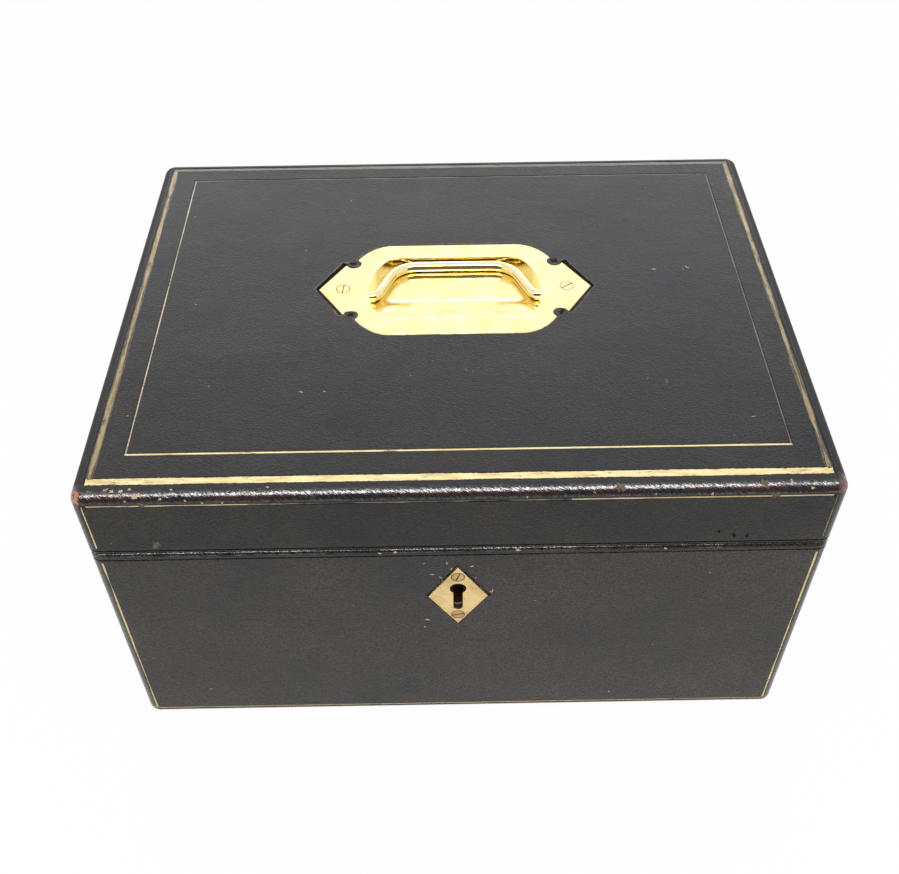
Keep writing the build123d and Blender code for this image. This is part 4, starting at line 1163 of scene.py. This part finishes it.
def dent(piece, low, high, depth):
    """Shallow hollows and pulls in the upper face, as a used pad has."""
    for vertex in piece.data.vertices:
        if vertex.co.z > (low.z + high.z) / 2:
            slow = ripple(vertex.co, 28, (3.0, 1.0, 0))
            fine = ripple(vertex.co, 110)
            vertex.co.z += depth * (slow - 0.4) + 0.3 * depth * fine


def make_ring_cushion():
    """Five stuffed rolls on one base, puckered along their ends."""
    node = "ring_cushion"
    low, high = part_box(node)
    piece = cloth_copy("stuffed_ring_cushion", node, "velvet", 2.2 * MM, (0.5 * MM, 0.3 * MM, 0.4 * MM))
    base = {v.index: 1.0 for v in piece.data.vertices if v.co.z < low.z + 9 * MM}
    inflate(piece, 0.9 * MM, base)
    subdivide(piece)
    pitch = (high.y - low.y) / RING_ROLLS
    for vertex in piece.data.vertices:
        if vertex.co.z > low.z + 11 * MM:
            end = min(vertex.co.x - low.x, high.x - vertex.co.x)
            turns = (vertex.co.y - low.y) / pitch
            furrow = abs(turns - round(turns)) * pitch
            if 0.5 < turns < RING_ROLLS - 0.5:
                vertex.co.z -= FURROW * bell(furrow, FURROW_REACH)
            pucker = exp(-end / (7 * MM)) * sin(vertex.co.y * 2600)
            vertex.co.z += 0.25 * MM * pucker + 0.45 * MM * ripple(vertex.co, 60) - 0.2 * MM
    finish_soft(piece, node, "tray")


def make_padded_walls():
    """The four padded panels below the tray."""
    for side in SIDES:
        node = f"lower_lining_{side}"
        low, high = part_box(node)
        across = 0 if side in ("left", "right") else 1
        margin = [0.6 * MM, 0.6 * MM, 0.6 * MM]
        piece = cloth_copy(f"padded_wall_{side}", node, "velvet", 3.2 * MM, margin)
        outward = side in ("back", "right")
        middle = (low[across] + high[across]) / 2
        pinned = {
            v.index: 1.0 for v in piece.data.vertices
            if (v.co[across] > middle + 0.5 * MM) == outward and abs(v.co[across] - middle) > 0.5 * MM
        }
        inflate(piece, 1.2 * MM, pinned)
        subdivide(piece)
        finish_soft(piece, node, "base", (0.1 * MM, 0.1 * MM, 0.1 * MM))


def rounded_copy(name, node, finish, body, radius):
    """A CAD node's form with its edges rounded, as cloth turned over a board leaves them."""
    piece = copy_node(name, node, finish)
    form = bmesh.new()
    form.from_mesh(piece.data)
    bmesh.ops.remove_doubles(form, verts=form.verts, dist=0.005 * MM)
    bmesh.ops.dissolve_limit(form, angle_limit=0.02, verts=form.verts, edges=form.edges)
    edges = [e for e in form.edges if len(e.link_faces) == 2 and e.calc_face_angle(0) > 0.5]
    bmesh.ops.bevel(form, geom=edges, offset=radius, segments=3, profile=0.5, affect="EDGES")
    form.to_mesh(piece.data)
    form.free()
    piece.data.shade_smooth()
    piece.modifiers.new("even", "WEIGHTED_NORMAL")
    settle(piece)
    stand_for(piece, node, body)
    return piece


def make_wrapped_boards():
    """The tray's boards, wrapped in velvet."""
    for node in ("tray_bottom", "tray_front_wall", "tray_back_wall", "tray_left_wall", "tray_right_wall",
                 "tray_divider_long", "tray_divider_left", "tray_divider_right"):
        rounded_copy(f"wrapped_{node}", node, "velvet", "tray", 0.6 * MM)


def make_thin_linings():
    """The cloth on the inside of the walls, and the baize under the case."""
    linings = [
        ("upper_lining", "base", [f"base_{side}_board" for side in SIDES]),
        ("lid_lining", "lid", [f"lid_{side}_rail" for side in SIDES]),
    ]
    for node, body, boards in linings:
        cloth = rounded_copy(f"cloth_{node}", node, "velvet", body, 0.3 * MM)
    baize = rounded_copy("baize_bottom_cover", "base_bottom_cover", "baize", "base", 0.25 * MM)


def make_lift_tabs():
    """Two folded silk ribbons that stand up from the tray: each one strip, doubled over at its top."""
    low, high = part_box("tray_lift_tabs")
    wide, tall = high.y - low.y, high.z - low.z
    middle_y = (low.y + high.y) / 2
    path = ribbon_path(tall)
    faces = quads(len(path), RIBBON_COLUMNS + 1)
    for side, name in ((-1, "left"), (1, "right")):
        outer = low.x if side < 0 else high.x
        foot = Vector((outer - side * RIBBON_STACK / 2, middle_y, low.z))
        vertices = ribbon_points(path, foot, side, wide, tall)
        piece = add_silk(f"ribbon_tab_{name}", vertices, faces, "tray")
        shell = piece.modifiers.new("thread", "SOLIDIFY")
        shell.thickness = 0.18 * MM
        shell.offset = 0
        settle(piece)
        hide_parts("tray_lift_tabs")


def ribbon_points(path, foot, side, wide, tall):
    """A ribbon's points, row by row along its path: a little narrower at the top, and slightly waved."""
    points = []
    for out, up in path:
        for k in range(RIBBON_COLUMNS + 1):
            across = k / RIBBON_COLUMNS * 2 - 1
            narrow = 1.0 - 0.20 * (up / tall) ** 6
            wave = 0.08 * MM * sin(5 * across + 3 * up / tall)
            x = foot.x + side * (out * (RIBBON_STACK / 2 - 0.12 * MM)) + wave
            x = min(max(x, foot.x - 0.42 * MM), foot.x + 0.42 * MM)
            y = foot.y + across * narrow * (wide / 2 - 0.1 * MM)
            points.append((x, y, foot.z + up))
    return points


def ribbon_path(tall):
    """Up one side, over a round fold and down the other: outward from -1 to 1, and height."""
    steps = 12
    bend = 0.94 * tall
    rise = [(-1.0, bend * i / steps) for i in range(steps + 1)]
    turns = [pi * i / 8 for i in range(1, 8)]
    fold = [(-cos(turn), bend + 0.055 * tall * sin(turn)) for turn in turns]
    fall = [(1.0, up) for _, up in reversed(rise)]
    return rise + fold + fall


make_studio()
dress_cad()
make_gilding()
make_edge_marks()
make_front_marks()
make_top_marks()
make_scuffs()
make_lips()
make_lid_pad()
make_pads()
make_ring_cushion()
make_padded_walls()
make_wrapped_boards()
make_thin_linings()
make_lift_tabs()
